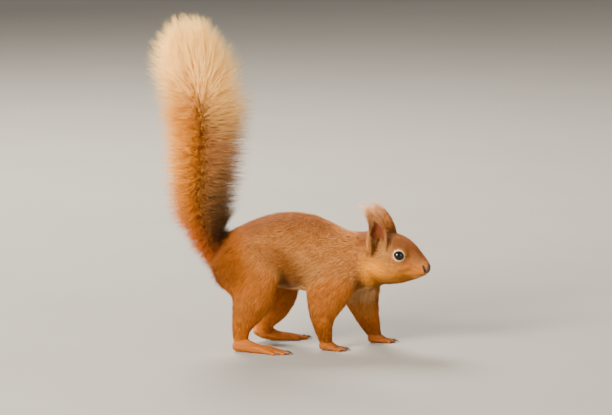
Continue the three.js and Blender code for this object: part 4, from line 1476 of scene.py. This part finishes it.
def random_on_node(node, count, rng):
    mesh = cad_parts[node].data
    verts = points_of(mesh)
    faces, _ = triangles_of(mesh)
    spans = verts[faces][:, 1:] - verts[faces][:, :1]
    size = np.linalg.norm(np.cross(spans[:, 0], spans[:, 1]), axis=1)
    chosen = rng.choice(len(faces), count, p=size / size.sum())
    mix = rng.dirichlet((1, 1, 1), count)[:, :, None]
    return (verts[faces[chosen]] * mix).sum(axis=1)


def ear_hair_ends(side, rng):
    base, turn = ear_matrix(side)
    inside = to_head(points)
    up = ((inside - np.array(base)) @ turn / MM)[:, 2]
    own = (labels == PART_NAMES.index("ear")) & (inside[:, 1] * SIDES[side] > 0)
    candidates = np.flatnonzero(own & (up > EAR_HAIR_FROM[side]) & (masks["dark"] < IN_HOLLOW))
    root = points[rng.choice(candidates, EAR_HAIRS)]
    middle = root.mean(axis=0)
    tips = random_on_node(f"ear_tuft_{side}", EAR_HAIRS * TIP_CHOICE, rng)
    far = np.linalg.norm(tips - middle, axis=1)
    tips = tips[np.argsort(far)[int(NEAR_TIPS * EAR_HAIRS) :]]
    tips = tips[rng.choice(len(tips), EAR_HAIRS)]
    tips = middle + (tips - middle) * rng.uniform(*EAR_REACH, EAR_HAIRS)[:, None]
    far = np.linalg.norm(tips - middle, axis=1)
    tips += (far / far.max())[:, None] ** 2 * np.array(EAR_SWEEP[side])
    return root, tips


print("hairs on each ear:", EAR_HAIRS)

# %% Grow the ear tufts
EAR_HAIR_WIDTH = 0.21 * MM
EAR_HAIR_WIDTHS = (0.7, 1.2)
EAR_HAIRS_PER_WISP = 42
WISP_SHARE = 0.8  # of the hairs
IN_WISP = (0.6, 0.97)  # how far a hair's tip draws to its wisp's
ON_ITS_OWN = (0, 0.3)
EAR_TIP_STRAY = 0.6 * MM
HAIR_SHADE = 0.5
WISP_SHADE = 0.9


def grow_ear_tuft(side, seed):
    rng = np.random.default_rng(seed)
    root, tips = ear_hair_ends(side, rng)
    in_wisp = rng.random(EAR_HAIRS) < WISP_SHARE
    tight, free = rng.uniform(*IN_WISP, EAR_HAIRS), rng.uniform(*ON_ITS_OWN, EAR_HAIRS)
    leader = nearest_leader(tips, rng, EAR_HAIRS_PER_WISP)
    tips += np.where(in_wisp, tight, free)[:, None] * (tips[leader] - tips)
    tips += rng.normal(0, EAR_TIP_STRAY, (EAR_HAIRS, 3))
    reach = np.linalg.norm(tips - root, axis=1)[:, None]
    path = arc(root, root + unit(UP_EAR) * reach * BEND_AT, tips, ARC_POINTS)
    widths = EAR_HAIR_WIDTH * rng.uniform(*EAR_HAIR_WIDTHS, EAR_HAIRS)[:, None] * RING_WIDTHS
    across = np.cross(tips - root, np.tile([0.0, 1.0, 0.0], (EAR_HAIRS, 1)))
    side_way = np.cross(tips - root, across)
    shade = rng.normal(0, HAIR_SHADE, EAR_HAIRS)
    shade += rng.normal(0, WISP_SHADE, EAR_HAIRS)[leader]
    name = f"ear_tuft_hair_{side}"
    piece = build_tufts(name, path, widths, side_way, nearest_map_places(root), {"shade": shade})
    return piece


ear_tufts = [grow_ear_tuft(side, SEED + 201 + sign) for side, sign in SIDES.items()]

# %% [markdown]
# ## Coat colours
# Colours are named here by what they are on the animal, and given by their web codes. The
# near-black brown is painted shadow in the hollows, and the dark brown paints shade as well as the
# coat's darker marks.


# %% The paints
def paint(code):
    """A colour from its web code, in the linear values that shaders use."""
    levels = [int(code[k : k + 2], 16) / 255 for k in (1, 3, 5)]
    linear = [v / 12.92 if v <= 0.04045 else ((v + 0.055) / 1.055) ** 2.4 for v in levels]
    return (*linear, 1.0)


RUFOUS = paint("#b97434")
SPINE_BROWN = paint("#9e6032")
LEG_ORANGE = paint("#de7c1a")
CHEEK_GOLD = paint("#ffaa14")
TEMPLE_TAN = paint("#cc9450")
TICK_TAN = paint("#ecbe80")
# for the coat's darker marks and for painted shade
UMBER_AND_SHADE = paint("#7c3e10")
CREAM = paint("#ffd08e")
EAR_RED = paint("#803c20")
# painted shadow of the nostrils, the mouth line and the ear's slit
PIT_SHADOW = paint("#2c140c")
COAT_COLORS = {  # in the order in which they are laid over the rufous ground
    "spine": (SPINE_BROWN, 1.0),
    "orange": (LEG_ORANGE, 0.95),
    "temple": (TEMPLE_TAN, 0.7),
    "gold": (CHEEK_GOLD, 1.0),
    # painted shade, with the coat's darker marks
    "umber_and_shade": (UMBER_AND_SHADE, 0.85),
    "cream": (CREAM, 0.96),
    "dark": (EAR_RED, 1.0),
    # painted shadow in the hollows
    "pit_shadow": (PIT_SHADOW, 0.9),
}
print("paints over the rufous:", ", ".join(COAT_COLORS))

# %% [markdown]
# ## Wiring nodes
# Materials are trees of nodes. A small class adds a node and joins it in one line, which keeps
# each material short enough to read from top to bottom.


# %% The wiring
class Wiring:
    """Adds nodes to a tree and joins them."""

    def __init__(self, tree):
        self.tree = tree

    def add(self, kind, **values):
        node = self.tree.nodes.new(kind)
        for key, value in values.items():
            setattr(node, key, value)
        return node

    def join(self, out, into):
        self.tree.links.new(out, into)
        return into.node

    def feed(self, socket, value):
        if hasattr(value, "links"):
            self.tree.links.new(value, socket)
        else:
            socket.default_value = value

    def math(self, operation, a, b=0.0, clamp=False):
        node = self.add("ShaderNodeMath", operation=operation, use_clamp=clamp)
        self.feed(node.inputs[0], a)
        self.feed(node.inputs[1], b)
        return node.outputs[0]

    def multiply_add(self, a, factor, plus):
        node = self.add("ShaderNodeMath", operation="MULTIPLY_ADD")
        for socket, value in zip(node.inputs, (a, factor, plus)):
            self.feed(socket, value)
        return node.outputs[0]

    def scaled(self, color, level):
        node = self.add("ShaderNodeVectorMath", operation="SCALE")
        self.feed(node.inputs[0], color)
        self.feed(node.inputs["Scale"], level)
        return node.outputs[0]

    def ramp(self, value, low, high):
        """0 below `low`, 1 above `high` and a smooth step between."""
        node = self.add("ShaderNodeMapRange", interpolation_type="SMOOTHSTEP")
        self.feed(node.inputs["Value"], value)
        node.inputs["From Min"].default_value = low
        node.inputs["From Max"].default_value = high
        return node.outputs[0]

    def mix(self, share, a, b):
        node = self.add("ShaderNodeMix", data_type="RGBA")
        self.feed(node.inputs[0], share)
        self.feed(node.inputs[6], a)
        self.feed(node.inputs[7], b)
        return node.outputs[2]

    def mask(self, name):
        return self.add("ShaderNodeAttribute", attribute_name=name).outputs["Fac"]

    def noise(self, scale, detail=3.0):
        place = self.add("ShaderNodeTexCoord").outputs["Object"]
        node = self.add("ShaderNodeTexNoise")
        self.feed(node.inputs["Vector"], place)
        node.inputs["Scale"].default_value = scale
        node.inputs["Detail"].default_value = detail
        return node.outputs["Fac"]


def new_group(name, inputs, outputs):
    group = bpy.data.node_groups.new(name, "ShaderNodeTree")
    for socket, kind in inputs:
        group.interface.new_socket(socket, in_out="INPUT", socket_type=kind)
    for socket, kind in outputs:
        group.interface.new_socket(socket, in_out="OUTPUT", socket_type=kind)
    wiring = Wiring(group)
    return group, wiring, wiring.add("NodeGroupInput"), wiring.add("NodeGroupOutput")


# %% [markdown]
# ## The coat's marks and painted shade
# One node group mixes the coat's colours and its painted shade by the masks, so that skin and hair
# always agree. Hair is darker at its root than at its tip, and each tuft is a little lighter or
# darker than the next.

# %% The group of coat marks and painted shade
TICKING = 0.22  # how much of the light tufts' colour is tan
FOOT_LEVEL = 0.70  # how bright a hair is at its root
TIP_GAIN = 0.45
SHADE_GAIN = 0.16


def make_markings_and_shade():
    sockets = [(name, "NodeSocketFloat") for name in [*COAT_COLORS, "tip", "shade"]]
    group, w, given, out = new_group("squirrel markings", sockets, [("Color", "NodeSocketColor")])
    ticking = w.math("MULTIPLY", given.outputs["shade"], TICKING, clamp=True)
    color = w.mix(ticking, RUFOUS, TICK_TAN)
    for name, (paint_color, strength) in COAT_COLORS.items():
        share = w.math("MULTIPLY", given.outputs[name], strength, clamp=True)
        color = w.mix(share, color, paint_color)
    level = w.multiply_add(given.outputs["tip"], TIP_GAIN, FOOT_LEVEL)
    level = w.multiply_add(given.outputs["shade"], SHADE_GAIN, level)
    w.join(w.scaled(color, level), out.inputs["Color"])
    return group


markings_and_shade = make_markings_and_shade()
print("markings:", len(markings_and_shade.nodes), "nodes")

# %% Material helpers
HAIR_SHINE = (1.0, 0.68, 0.38, 1.0)
HAIR_ROUGHNESS = 0.62
HAIR_SPECULAR = 0.12
SHEEN_ROUGHNESS = 0.45


def new_material(name):
    material = bpy.data.materials.new(name)
    material.use_nodes = True
    w = Wiring(material.node_tree)
    shader = material.node_tree.nodes["Principled BSDF"]
    return material, w, shader


def add_bump(w, shader, strength, distance, scale):
    bump = w.add("ShaderNodeBump")
    bump.inputs["Strength"].default_value = strength
    bump.inputs["Distance"].default_value = distance
    w.feed(bump.inputs["Height"], w.noise(scale))
    w.join(bump.outputs[0], shader.inputs["Normal"])


def marked_color(w, tip, shade):
    node = w.add("ShaderNodeGroup")
    node.node_tree = markings_and_shade
    for name in COAT_COLORS:
        w.feed(node.inputs[name], w.mask(name))
    w.feed(node.inputs["tip"], tip)
    w.feed(node.inputs["shade"], shade)
    return node.outputs["Color"]


def soft_hair(shader, sheen):
    shader.inputs["Roughness"].default_value = HAIR_ROUGHNESS
    shader.inputs["Specular IOR Level"].default_value = HAIR_SPECULAR
    shader.inputs["Specular Tint"].default_value = HAIR_SHINE
    shader.inputs["Sheen Weight"].default_value = sheen
    shader.inputs["Sheen Roughness"].default_value = SHEEN_ROUGHNESS
    shader.inputs["Sheen Tint"].default_value = HAIR_SHINE


# %% Coat and skin materials
NOSE_PAD = paint("#684330")
NOSE_CREASE = paint("#3c2418")
COAT_SHEEN = 0.06
UNDER_LEVEL = 0.25  # the skin is painted like a hair this far from its root
MOTTLING = 900.0  # noise scales
NOSE_GRAIN = 2600.0
SKIN_ROUGHNESS = 0.8
NOSE_SMOOTHER = -0.35


def make_coat_material():
    material, w, shader = new_material("lying coat")
    w.join(marked_color(w, w.mask("tip"), w.mask("shade")), shader.inputs["Base Color"])
    soft_hair(shader, COAT_SHEEN)
    return material


def make_skin_material():
    material, w, shader = new_material("skin under the coat")
    under = marked_color(w, UNDER_LEVEL, w.math("SUBTRACT", w.noise(MOTTLING), 0.5))
    grain = w.mix(w.noise(NOSE_GRAIN), NOSE_PAD, NOSE_CREASE)
    # painted shadow in the nostrils and along the mouth on the bare skin
    pad = w.mix(w.mask("pit_shadow"), grain, PIT_SHADOW)
    bare = w.mask("bare")
    w.join(w.mix(bare, under, pad), shader.inputs["Base Color"])
    roughness = w.multiply_add(bare, NOSE_SMOOTHER, SKIN_ROUGHNESS)
    w.join(roughness, shader.inputs["Roughness"])
    add_bump(w, shader, strength=0.5, distance=0.12 * MM, scale=1800.0)
    return material


coat_material = make_coat_material()
for piece in coats.values():
    piece.data.materials.append(coat_material)
skin.data.materials.clear()
skin.data.materials.append(make_skin_material())
print("coat and skin painted")

# %% [markdown]
# The side of the plume that faces the animal's back is brown, partly its own colour and partly
# painted shade, and darkest at its foot; the other side is orange. Both turn blond towards the top,
# and out at the tips they pale by their own bleached ends and by painted rim light. So a hair's
# colour needs its height above the floor, which side it grows on and how far along it is.

# %% Plume colours
# the brown side is partly its own colour and partly painted shade, darkest at its foot
PLUME_CHESTNUT_AND_SHADE = paint("#2c1205")
PLUME_BROWN = paint("#b87c4c")
PLUME_RUST = paint("#b8601c")
PLUME_ORANGE = paint("#d08406")
PLUME_BLOND = paint("#ffcd70")
RUST_FOOT = (0.094, 0.172)  # heights in metres between which the orange side's foot pales
DARK_FOOT = (0.080, 0.168)  # the same in the middle of the brown side
DARK_EDGE = 0.036  # how much higher the dark reaches on the brown side's edge
BLOND_TOP = (0.192, 0.252)  # and between which both turn blond
BLOND_TURN = 0.016  # how much lower the blond starts on the brown side
SIDE_EDGE = (-0.55, 0.75)  # from the orange side to the brown one, where colours change over
SIDE_SHADE = 0.12  # how far single hairs move that edge
UNEVEN = 0.02  # how far, in metres, patches of hair move the heights
UNEVEN_SCALE = 60.0
TIP_SHARPNESS = 5.0  # the power that keeps the blond to a hair's tip
TIP_PALES_LOWER = 0.018
# painted rim light on the hair tips above the tail's foot
RIM_LIGHT_FRINGE = 0.28
PLUME_LEVEL = (0.86, 0.34)  # how bright a hair is at its root, and what its tip adds
PLUME_SHADE = 0.10
PLUME_SHEEN = 0.12


def plume_paleness(w, tip, height, foot):
    """How blond the plume is: towards its top, and at the tips of its hairs, where painted rim light
    adds to their own paleness.
    """
    outer = w.math("POWER", tip, TIP_SHARPNESS)
    pale_height = w.multiply_add(w.mask("back"), BLOND_TURN, height)
    pale = w.ramp(w.multiply_add(outer, TIP_PALES_LOWER, pale_height), *BLOND_TOP)
    # painted rim light on the tips
    rim_light_fringe = w.math("MULTIPLY", w.math("MULTIPLY", outer, foot), RIM_LIGHT_FRINGE)
    return w.math("MAXIMUM", pale, rim_light_fringe)


def make_plume_material():
    material, w, shader = new_material("tail hair")
    tip, shade, back = w.mask("tip"), w.mask("shade"), w.mask("back")
    split = w.add("ShaderNodeSeparateXYZ")
    w.feed(split.inputs[0], w.add("ShaderNodeTexCoord").outputs["Object"])
    height = w.multiply_add(w.noise(UNEVEN_SCALE), UNEVEN, split.outputs["Z"])
    foot = w.ramp(height, *RUST_FOOT)
    orange = w.mix(foot, PLUME_RUST, PLUME_ORANGE)
    dark_height = w.multiply_add(back, -DARK_EDGE, height)
    brown = w.mix(w.ramp(dark_height, *DARK_FOOT), PLUME_CHESTNUT_AND_SHADE, PLUME_BROWN)
    body = w.mix(w.ramp(w.multiply_add(shade, SIDE_SHADE, back), *SIDE_EDGE), orange, brown)
    color = w.mix(plume_paleness(w, tip, height, foot), body, PLUME_BLOND)
    level = w.multiply_add(tip, PLUME_LEVEL[1], PLUME_LEVEL[0])
    level = w.multiply_add(shade, PLUME_SHADE, level)
    w.join(w.scaled(color, level), shader.inputs["Base Color"])
    soft_hair(shader, PLUME_SHEEN)
    return material


plume_material = make_plume_material()
for piece in plume:
    piece.data.materials.append(plume_material)
print("tail hair:", len(plume_material.node_tree.nodes), "nodes")

# %% Ear tuft colours
TUFT_FOOT = paint("#94562e")
TUFT_TIP = paint("#e0a468")
TUFT_LEVEL = 0.95
WISP_GAIN = 0.20
TUFT_SHEEN = 0.15


def make_tuft_material():
    material, w, shader = new_material("ear tuft hair")
    tip = w.mask("tip")
    color = w.mix(w.math("MULTIPLY", tip, tip), TUFT_FOOT, TUFT_TIP)
    level = w.multiply_add(w.mask("shade"), WISP_GAIN, TUFT_LEVEL)
    w.join(w.scaled(color, level), shader.inputs["Base Color"])
    soft_hair(shader, TUFT_SHEEN)
    return material


tuft_material = make_tuft_material()
for piece in ear_tufts:
    piece.data.materials.append(tuft_material)
print("ear tuft hair:", len(tuft_material.node_tree.nodes), "nodes")

# %% [markdown]
# ## Eyes and lids
# The eye is large, round and so dark that only its wet shine shows. The lids are a thin bare rim
# that hugs the ball. Both start as primitives: a sphere whose front is drawn out into a cornea,
# and a ring whose cross-section is laid over the ball as a lid lies.

# %% Eyes
EYE_WAY = Vector((0.30, 1, 0.22)).normalized()  # in the head's frame, for the left eye
LIDS_UP = Vector((0.12, 0, 1))  # a little forwards, so the lids' front corner is the lower one
CORNEA_BULGE = 0.25 * MM
CORNEA_SPAN = (0.6, 1.0)  # shares of the radius along the eye's axis, from its edge to its middle


def eye_frame(side):
    """Columns: forwards along the lids, up, and out of the head, in the world's frame."""
    out = Vector((EYE_WAY.x, EYE_WAY.y * SIDES[side], EYE_WAY.z))
    up = (LIDS_UP - out * out.dot(LIDS_UP)).normalized()
    ahead = up.cross(out) * SIDES[side]
    local = Matrix((ahead, up, out)).transposed()
    return np.array(HEAD_TURN.to_matrix() @ local)


def make_eye(side):
    bpy.ops.mesh.primitive_uv_sphere_add(segments=48, ring_count=32, radius=EYE_RADIUS)
    eye = bpy.context.object
    eye.name = f"eyeball_{side}"
    local = points_of(eye.data)
    front = smoothstep(*CORNEA_SPAN, local[:, 2] / EYE_RADIUS)
    local[:, 2] += front * CORNEA_BULGE
    move_points(eye.data, local @ eye_frame(side).T + np.array(eye_at[side]))
    bpy.ops.object.shade_smooth()
    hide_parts(f"eye_{side}")
    return eye


print("eye radius", EYE_RADIUS / MM, "mm")

# %% Eye colours
PUPIL = paint("#050405")
IRIS = paint("#24130c")
EYE_EDGE = paint("#060404")
PUPIL_SPAN = (2.2 * MM, 3.0 * MM)  # from the middle of the cornea, where the pupil fades out
IRIS_SPAN = (3.4 * MM, 4.2 * MM)  # and where the iris does
EYE_ROUGHNESS = 0.04
EYE_SPECULAR = 0.4


def from_pole(w, side):
    """How far a point of the eye is from the middle of the cornea."""
    away = w.add("ShaderNodeVectorMath", operation="DISTANCE")
    w.feed(away.inputs[0], w.add("ShaderNodeTexCoord").outputs["Object"])
    away.inputs[1].default_value = eye_at[side] + Vector(eye_frame(side)[:, 2]) * EYE_RADIUS
    return away.outputs["Value"]


def make_eye_material(side):
    material, w, shader = new_material(f"eye {side}")
    away = from_pole(w, side)
    color = w.mix(w.ramp(away, *PUPIL_SPAN), PUPIL, IRIS)
    color = w.mix(w.ramp(away, *IRIS_SPAN), color, EYE_EDGE)
    w.join(color, shader.inputs["Base Color"])
    shader.inputs["Roughness"].default_value = EYE_ROUGHNESS
    shader.inputs["Specular IOR Level"].default_value = EYE_SPECULAR
    return material


bpy.ops.object.select_all(action="DESELECT")
eyes = [make_eye(side) for side in SIDES]
for side, eye in zip(SIDES, eyes):
    eye.data.materials.append(make_eye_material(side))
print("eyes:", len(eyes))

# %% Lids
LID_STEPS = 56
LID_OPENING = (52, 42)  # degrees from the eye's axis, along and across
LID_CORNER = 1.75  # 2 is an oval, less draws the corners out
LID_SECTION = [  # degrees beyond the rim, and mm outside the ball
    (-1.0, 0.04),
    (-0.5, 0.32),
    (4.0, 0.52),
    (10.0, 0.50),
    (18.0, 0.25),
    (30.0, -0.30),
    (20.0, -0.35),
    (8.0, -0.20),
]


def lid_rim(angle):
    """How far the opening reaches from the eye's axis, in degrees, for an angle round it."""
    along, across = LID_OPENING
    c, s = abs(np.cos(angle)) / along, abs(np.sin(angle)) / across
    return (c**LID_CORNER + s**LID_CORNER) ** (-1 / LID_CORNER)


def turn_outwards():
    """Makes all normals of the active piece point outwards."""
    with editing_all():
        bpy.ops.mesh.normals_make_consistent(inside=False)


def make_lids(side):
    bpy.ops.mesh.primitive_torus_add(major_segments=LID_STEPS, minor_segments=len(LID_SECTION))
    lids = bpy.context.object
    lids.name = f"eyelids_{side}"
    rows, edge = [], []
    for step in range(LID_STEPS):
        angle = 2 * math.pi * step / LID_STEPS
        for beyond, above in LID_SECTION:
            polar = math.radians(lid_rim(angle) + beyond)
            radius = EYE_RADIUS + above * MM
            flat = radius * math.sin(polar)
            rows.append((flat * math.cos(angle), flat * math.sin(angle), radius * math.cos(polar)))
            edge.append(beyond)
    move_points(lids.data, np.array(rows) @ eye_frame(side).T + np.array(eye_at[side]))
    keep_values(lids.data, {"beyond": edge})
    turn_outwards()
    smooth = lids.modifiers.new("round", "SUBSURF")
    smooth.levels = smooth.render_levels = 1
    apply_all(lids)
    bpy.ops.object.shade_smooth()
    return lids


lids = [make_lids(side) for side in SIDES]
print("lids:", len(lids), "each with", len(lids[0].data.polygons), "faces")

# %% Lid colours
LID_BROWN = paint("#3c2820")
LID_BLACK = paint("#1c110d")
LID_DARK = (2.0, 5.0)  # degrees beyond the rim, where the bare dark edge ends
LID_GRAIN = 2400.0  # noise scales
LID_UNEVEN = 1200.0
EDGE_WANDER = 2.0  # degrees
LID_ROUGHNESS = 0.5


def make_lid_material():
    """Dark at the wet edge, pale where the short hair of the eye ring begins."""
    material, w, shader = new_material("lids")
    rim = w.mix(w.noise(LID_GRAIN), LID_BROWN, LID_BLACK)
    beyond = w.multiply_add(w.noise(LID_UNEVEN), EDGE_WANDER, w.mask("beyond"))
    color = w.mix(w.ramp(beyond, *LID_DARK), rim, CREAM)
    w.join(color, shader.inputs["Base Color"])
    shader.inputs["Roughness"].default_value = LID_ROUGHNESS
    add_bump(w, shader, strength=0.4, distance=0.08 * MM, scale=3000.0)
    return material


lid_material = make_lid_material()
for lid in lids:
    lid.data.materials.append(lid_material)
print("lids painted")

# %% [markdown]
# ## Claws
# Each toe ends in a slim, dark, hooked claw, flattened from side to side. One claw is drawn out of
# a cone and bent, then copied to each toe at the place that the foot's own sizes give.

# %% Claws
CLAW_LENGTH = 6.2 * MM
CLAW_SIDES = 10
CLAW_RADII = {"radius1": 0.85 * MM, "radius2": 0.12 * MM}  # at the root and at the tip
CLAW_CUTS = np.linspace(-0.4, 0.4, 7) * CLAW_LENGTH  # rings to bend it by, from its middle
CLAW_HOOK = 1.9 * MM
CLAW_CURVE = 2.2  # the power by which the hook grows towards the tip
CLAW_SHORTER = 0.12  # of its length, which the bend takes up
CLAW_FLATNESS = 0.72
CLAW_ROOT = 1.6 * MM  # how far back inside the toe it starts
CLAW_LIFT = Vector((0, 0, 0.45)) * MM  # over the toe's middle line


def model_claw():
    """One claw along +X from its root, hooked down, with its tip on a level with the sole."""
    bpy.ops.mesh.primitive_cone_add(vertices=CLAW_SIDES, depth=CLAW_LENGTH, **CLAW_RADII)
    claw = bpy.context.object
    for height in CLAW_CUTS:
        with editing_all():
            bpy.ops.mesh.bisect(plane_co=(0, 0, height), plane_no=(0, 0, 1))
    down, across, along = points_of(claw.data).T
    ahead = along + CLAW_LENGTH / 2
    share = ahead / CLAW_LENGTH
    drop = CLAW_HOOK * share**CLAW_CURVE
    bent = [ahead * (1 - CLAW_SHORTER * share), across * CLAW_FLATNESS, -down - drop]
    move_points(claw.data, np.stack(bent, axis=1))
    turn_outwards()
    bpy.ops.object.shade_smooth()
    return claw


def make_claws():
    model = model_claw()
    claws = []
    for end, way, along in toe_lines():
        claw = model.copy()
        claw.data = model.data.copy()
        bpy.context.scene.collection.objects.link(claw)
        place = Matrix.Translation(end * MM - way * CLAW_ROOT + CLAW_LIFT)
        claw.data.transform(place @ Matrix.Rotation(along, 4, "Z"))
        claws.append(claw)
    bpy.data.objects.remove(model)
    select_only(*claws)
    bpy.ops.object.join()
    claws = bpy.context.object
    claws.name = "claws"
    return claws


claws = make_claws()
print(mesh_sizes(claws))

# %% Claw colours
HORN_PALE = paint("#57453a")
HORN_DARK = paint("#2a1f19")
HORN_MOTTLING = 700.0  # noise scale
HORN_ROUGHNESS = 0.3


def make_claw_material():
    material, w, shader = new_material("claw horn")
    color = w.mix(w.noise(HORN_MOTTLING), HORN_PALE, HORN_DARK)
    w.join(color, shader.inputs["Base Color"])
    shader.inputs["Roughness"].default_value = HORN_ROUGHNESS
    add_bump(w, shader, strength=0.25, distance=0.05 * MM, scale=1500.0)
    return material


claws.data.materials.clear()
claws.data.materials.append(make_claw_material())
print("claws painted")

# %% [markdown]
# ## Whiskers
# Fine dark bristles stand in three rows on each side of the upper lip and sweep outwards and
# back.

# %% Whiskers
WHISKER_ROWS = 3
WHISKER_COLUMNS = 4
WHISKER_ROOT = Vector((47.5, 5.6, -0.8)) * MM  # the foremost of the top row, in the head's frame
NEXT_COLUMN = Vector((-1.9, 0.7, 0)) * MM
NEXT_ROW = Vector((0, 0, -1.5)) * MM
WHISKER_LENGTHS = (17, 31)  # mm
WHISKER_WAY = (-0.35, 0.28)  # how far back and up each one points, to one outwards
WHISKER_STRAY = 0.12
ROW_DROP = 0.3  # how much lower the next row points
WHISKER_SAG = np.array([0.12, 0, 0.10])  # of the length, by which the middle bows
WHISKER_POINTS = 7
WHISKER_TAPER = np.linspace(1, 0.35, WHISKER_POINTS - 2)
WHISKER_WIDTH = 0.2 * MM


def whisker_ends(rng):
    roots, tips = [], []
    for sign, row, column in product(SIDES.values(), range(WHISKER_ROWS), range(WHISKER_COLUMNS)):
        spot = WHISKER_ROOT + NEXT_COLUMN * column + NEXT_ROW * row
        spot.y *= sign
        reach = rng.uniform(*WHISKER_LENGTHS) * MM
        back, up = WHISKER_WAY
        way = Vector((back + WHISKER_STRAY * rng.normal(), sign, up - ROW_DROP * row)).normalized()
        roots.append(spot)
        tips.append(spot + way * reach)
    return from_head(np.array(roots)), from_head(np.array(tips))


def make_whiskers(seed):
    roots, tips = whisker_ends(np.random.default_rng(seed))
    roots = above_skin(roots, np.zeros(len(roots)))
    span = tips - roots
    bend = roots + span * 0.5 + WHISKER_SAG * np.linalg.norm(span, axis=1)[:, None]
    path = arc(roots, bend, tips, WHISKER_POINTS)
    taper = WHISKER_TAPER[None] * WHISKER_WIDTH * np.ones((len(roots), 1))
    side = np.cross(span, np.tile([0.0, 0.0, 1.0], (len(roots), 1)))
    uv = nearest_map_places(roots)
    piece = build_tufts("whiskers", path, taper, side, uv, {}, flatness=1.0)
    return piece


whiskers = make_whiskers(SEED + 301)

# %% Whisker colours
BRISTLE_ROOT = paint("#1c1512")
BRISTLE_TIP = paint("#4a3a30")
BRISTLE_ROUGHNESS = 0.35


def make_whisker_material():
    material, w, shader = new_material("whisker bristle")
    color = w.mix(w.mask("tip"), BRISTLE_ROOT, BRISTLE_TIP)
    w.join(color, shader.inputs["Base Color"])
    shader.inputs["Roughness"].default_value = BRISTLE_ROUGHNESS
    return material


whiskers.data.materials.append(make_whisker_material())
print("whiskers painted")

# %% [markdown]
# ## Carry and replace
# Every piece rides on the model's one body. The skin stands for the solids of flesh and the hair
# pieces for the solid plume and tufts.

# %% Ride
pieces = [skin, claws, whiskers, *coats.values(), *plume, *ear_tufts, *eyes, *lids]
for piece in pieces:
    piece.parent = None
    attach(piece, "root")
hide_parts(*flesh)
for piece, node in zip(plume, plume_nodes):
    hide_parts(node)
for piece, side in zip(ear_tufts, SIDES):
    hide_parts(f"ear_tuft_{side}")
print("pieces:", len(pieces))

# %% [markdown]
# ## Floor, light and camera
# A plain pale floor reaches far enough back to fill the view. The key light is on the camera's
# side and to the left, towards the tail, a second one stands behind the animal and rims its back,
# and a weak, broad one fills the shadows from the right. The camera stands on the animal's right,
# a little raised, with a long lens.

# %% Floor
FLOOR_SIZE = 24.0  # metres
FLOOR_DARK = paint("#9a948a")
FLOOR_PALE = paint("#a29c92")
FLOOR_MOTTLING = 6.0
FLOOR_ROUGHNESS = 0.9


def make_floor():
    bpy.ops.mesh.primitive_plane_add(size=FLOOR_SIZE)
    floor = bpy.context.object
    floor.name = "floor"
    material, w, shader = new_material("pale floor")
    color = w.mix(w.noise(FLOOR_MOTTLING), FLOOR_DARK, FLOOR_PALE)
    w.join(color, shader.inputs["Base Color"])
    shader.inputs["Roughness"].default_value = FLOOR_ROUGHNESS
    floor.data.materials.append(material)


make_floor()
print("floor", FLOOR_SIZE, "m wide")

# %% Light
LIGHTS = {  # place and size in metres, power in watts and colour
    "key light": ((-1.5, -1.75, 1.2), 1.0, 196, (1.0, 0.94, 0.85)),
    "rim light": ((-0.5, 1.4, 1.4), 0.8, 80, (1.0, 0.95, 0.88)),
    "fill light": ((1.6, -1.5, 0.7), 1.4, 20, (1.0, 0.95, 0.88)),
}
LIGHTS_AIM = Vector((0, 0, 0.11))
STUDIO_COLOR = (0.86, 0.85, 0.84, 1)
STUDIO_STRENGTH = 0.36


def soft_light(name, place, size, power, color):
    bpy.ops.object.light_add(type="AREA", location=place)
    light = bpy.context.object
    light.name = name
    light.data.size = size
    light.data.energy = power
    light.data.color = color
    aim = LIGHTS_AIM - Vector(place)
    light.rotation_euler = aim.to_track_quat("-Z", "Y").to_euler()


for name, settings in LIGHTS.items():
    soft_light(name, *settings)
world = bpy.data.worlds.new("studio")
bpy.context.scene.world = world
world.use_nodes = True
background = world.node_tree.nodes["Background"]
background.inputs["Color"].default_value = STUDIO_COLOR
background.inputs["Strength"].default_value = STUDIO_STRENGTH
print("lights:", len(LIGHTS))

# %% Camera
CAMERA_AIM = Vector((13.8, 0, 121)) * MM
CAMERA_DISTANCE = 5.0
CAMERA_RISE = math.radians(8)
FRAME_WIDTH = 526 * MM  # what the picture spans at the animal
SENSOR = 36.0
FAR_END = 60  # metres

bpy.ops.object.camera_add()
camera = bpy.context.object
camera.data.sensor_width = SENSOR
camera.data.lens = SENSOR * CAMERA_DISTANCE / FRAME_WIDTH
camera.data.clip_end = FAR_END
back = Vector((0, -math.cos(CAMERA_RISE), math.sin(CAMERA_RISE)))
camera.location = CAMERA_AIM + back * CAMERA_DISTANCE
camera.rotation_euler = (-back).to_track_quat("-Z", "Y").to_euler()
bpy.context.scene.camera = camera
print("lens", round(camera.data.lens), "mm")
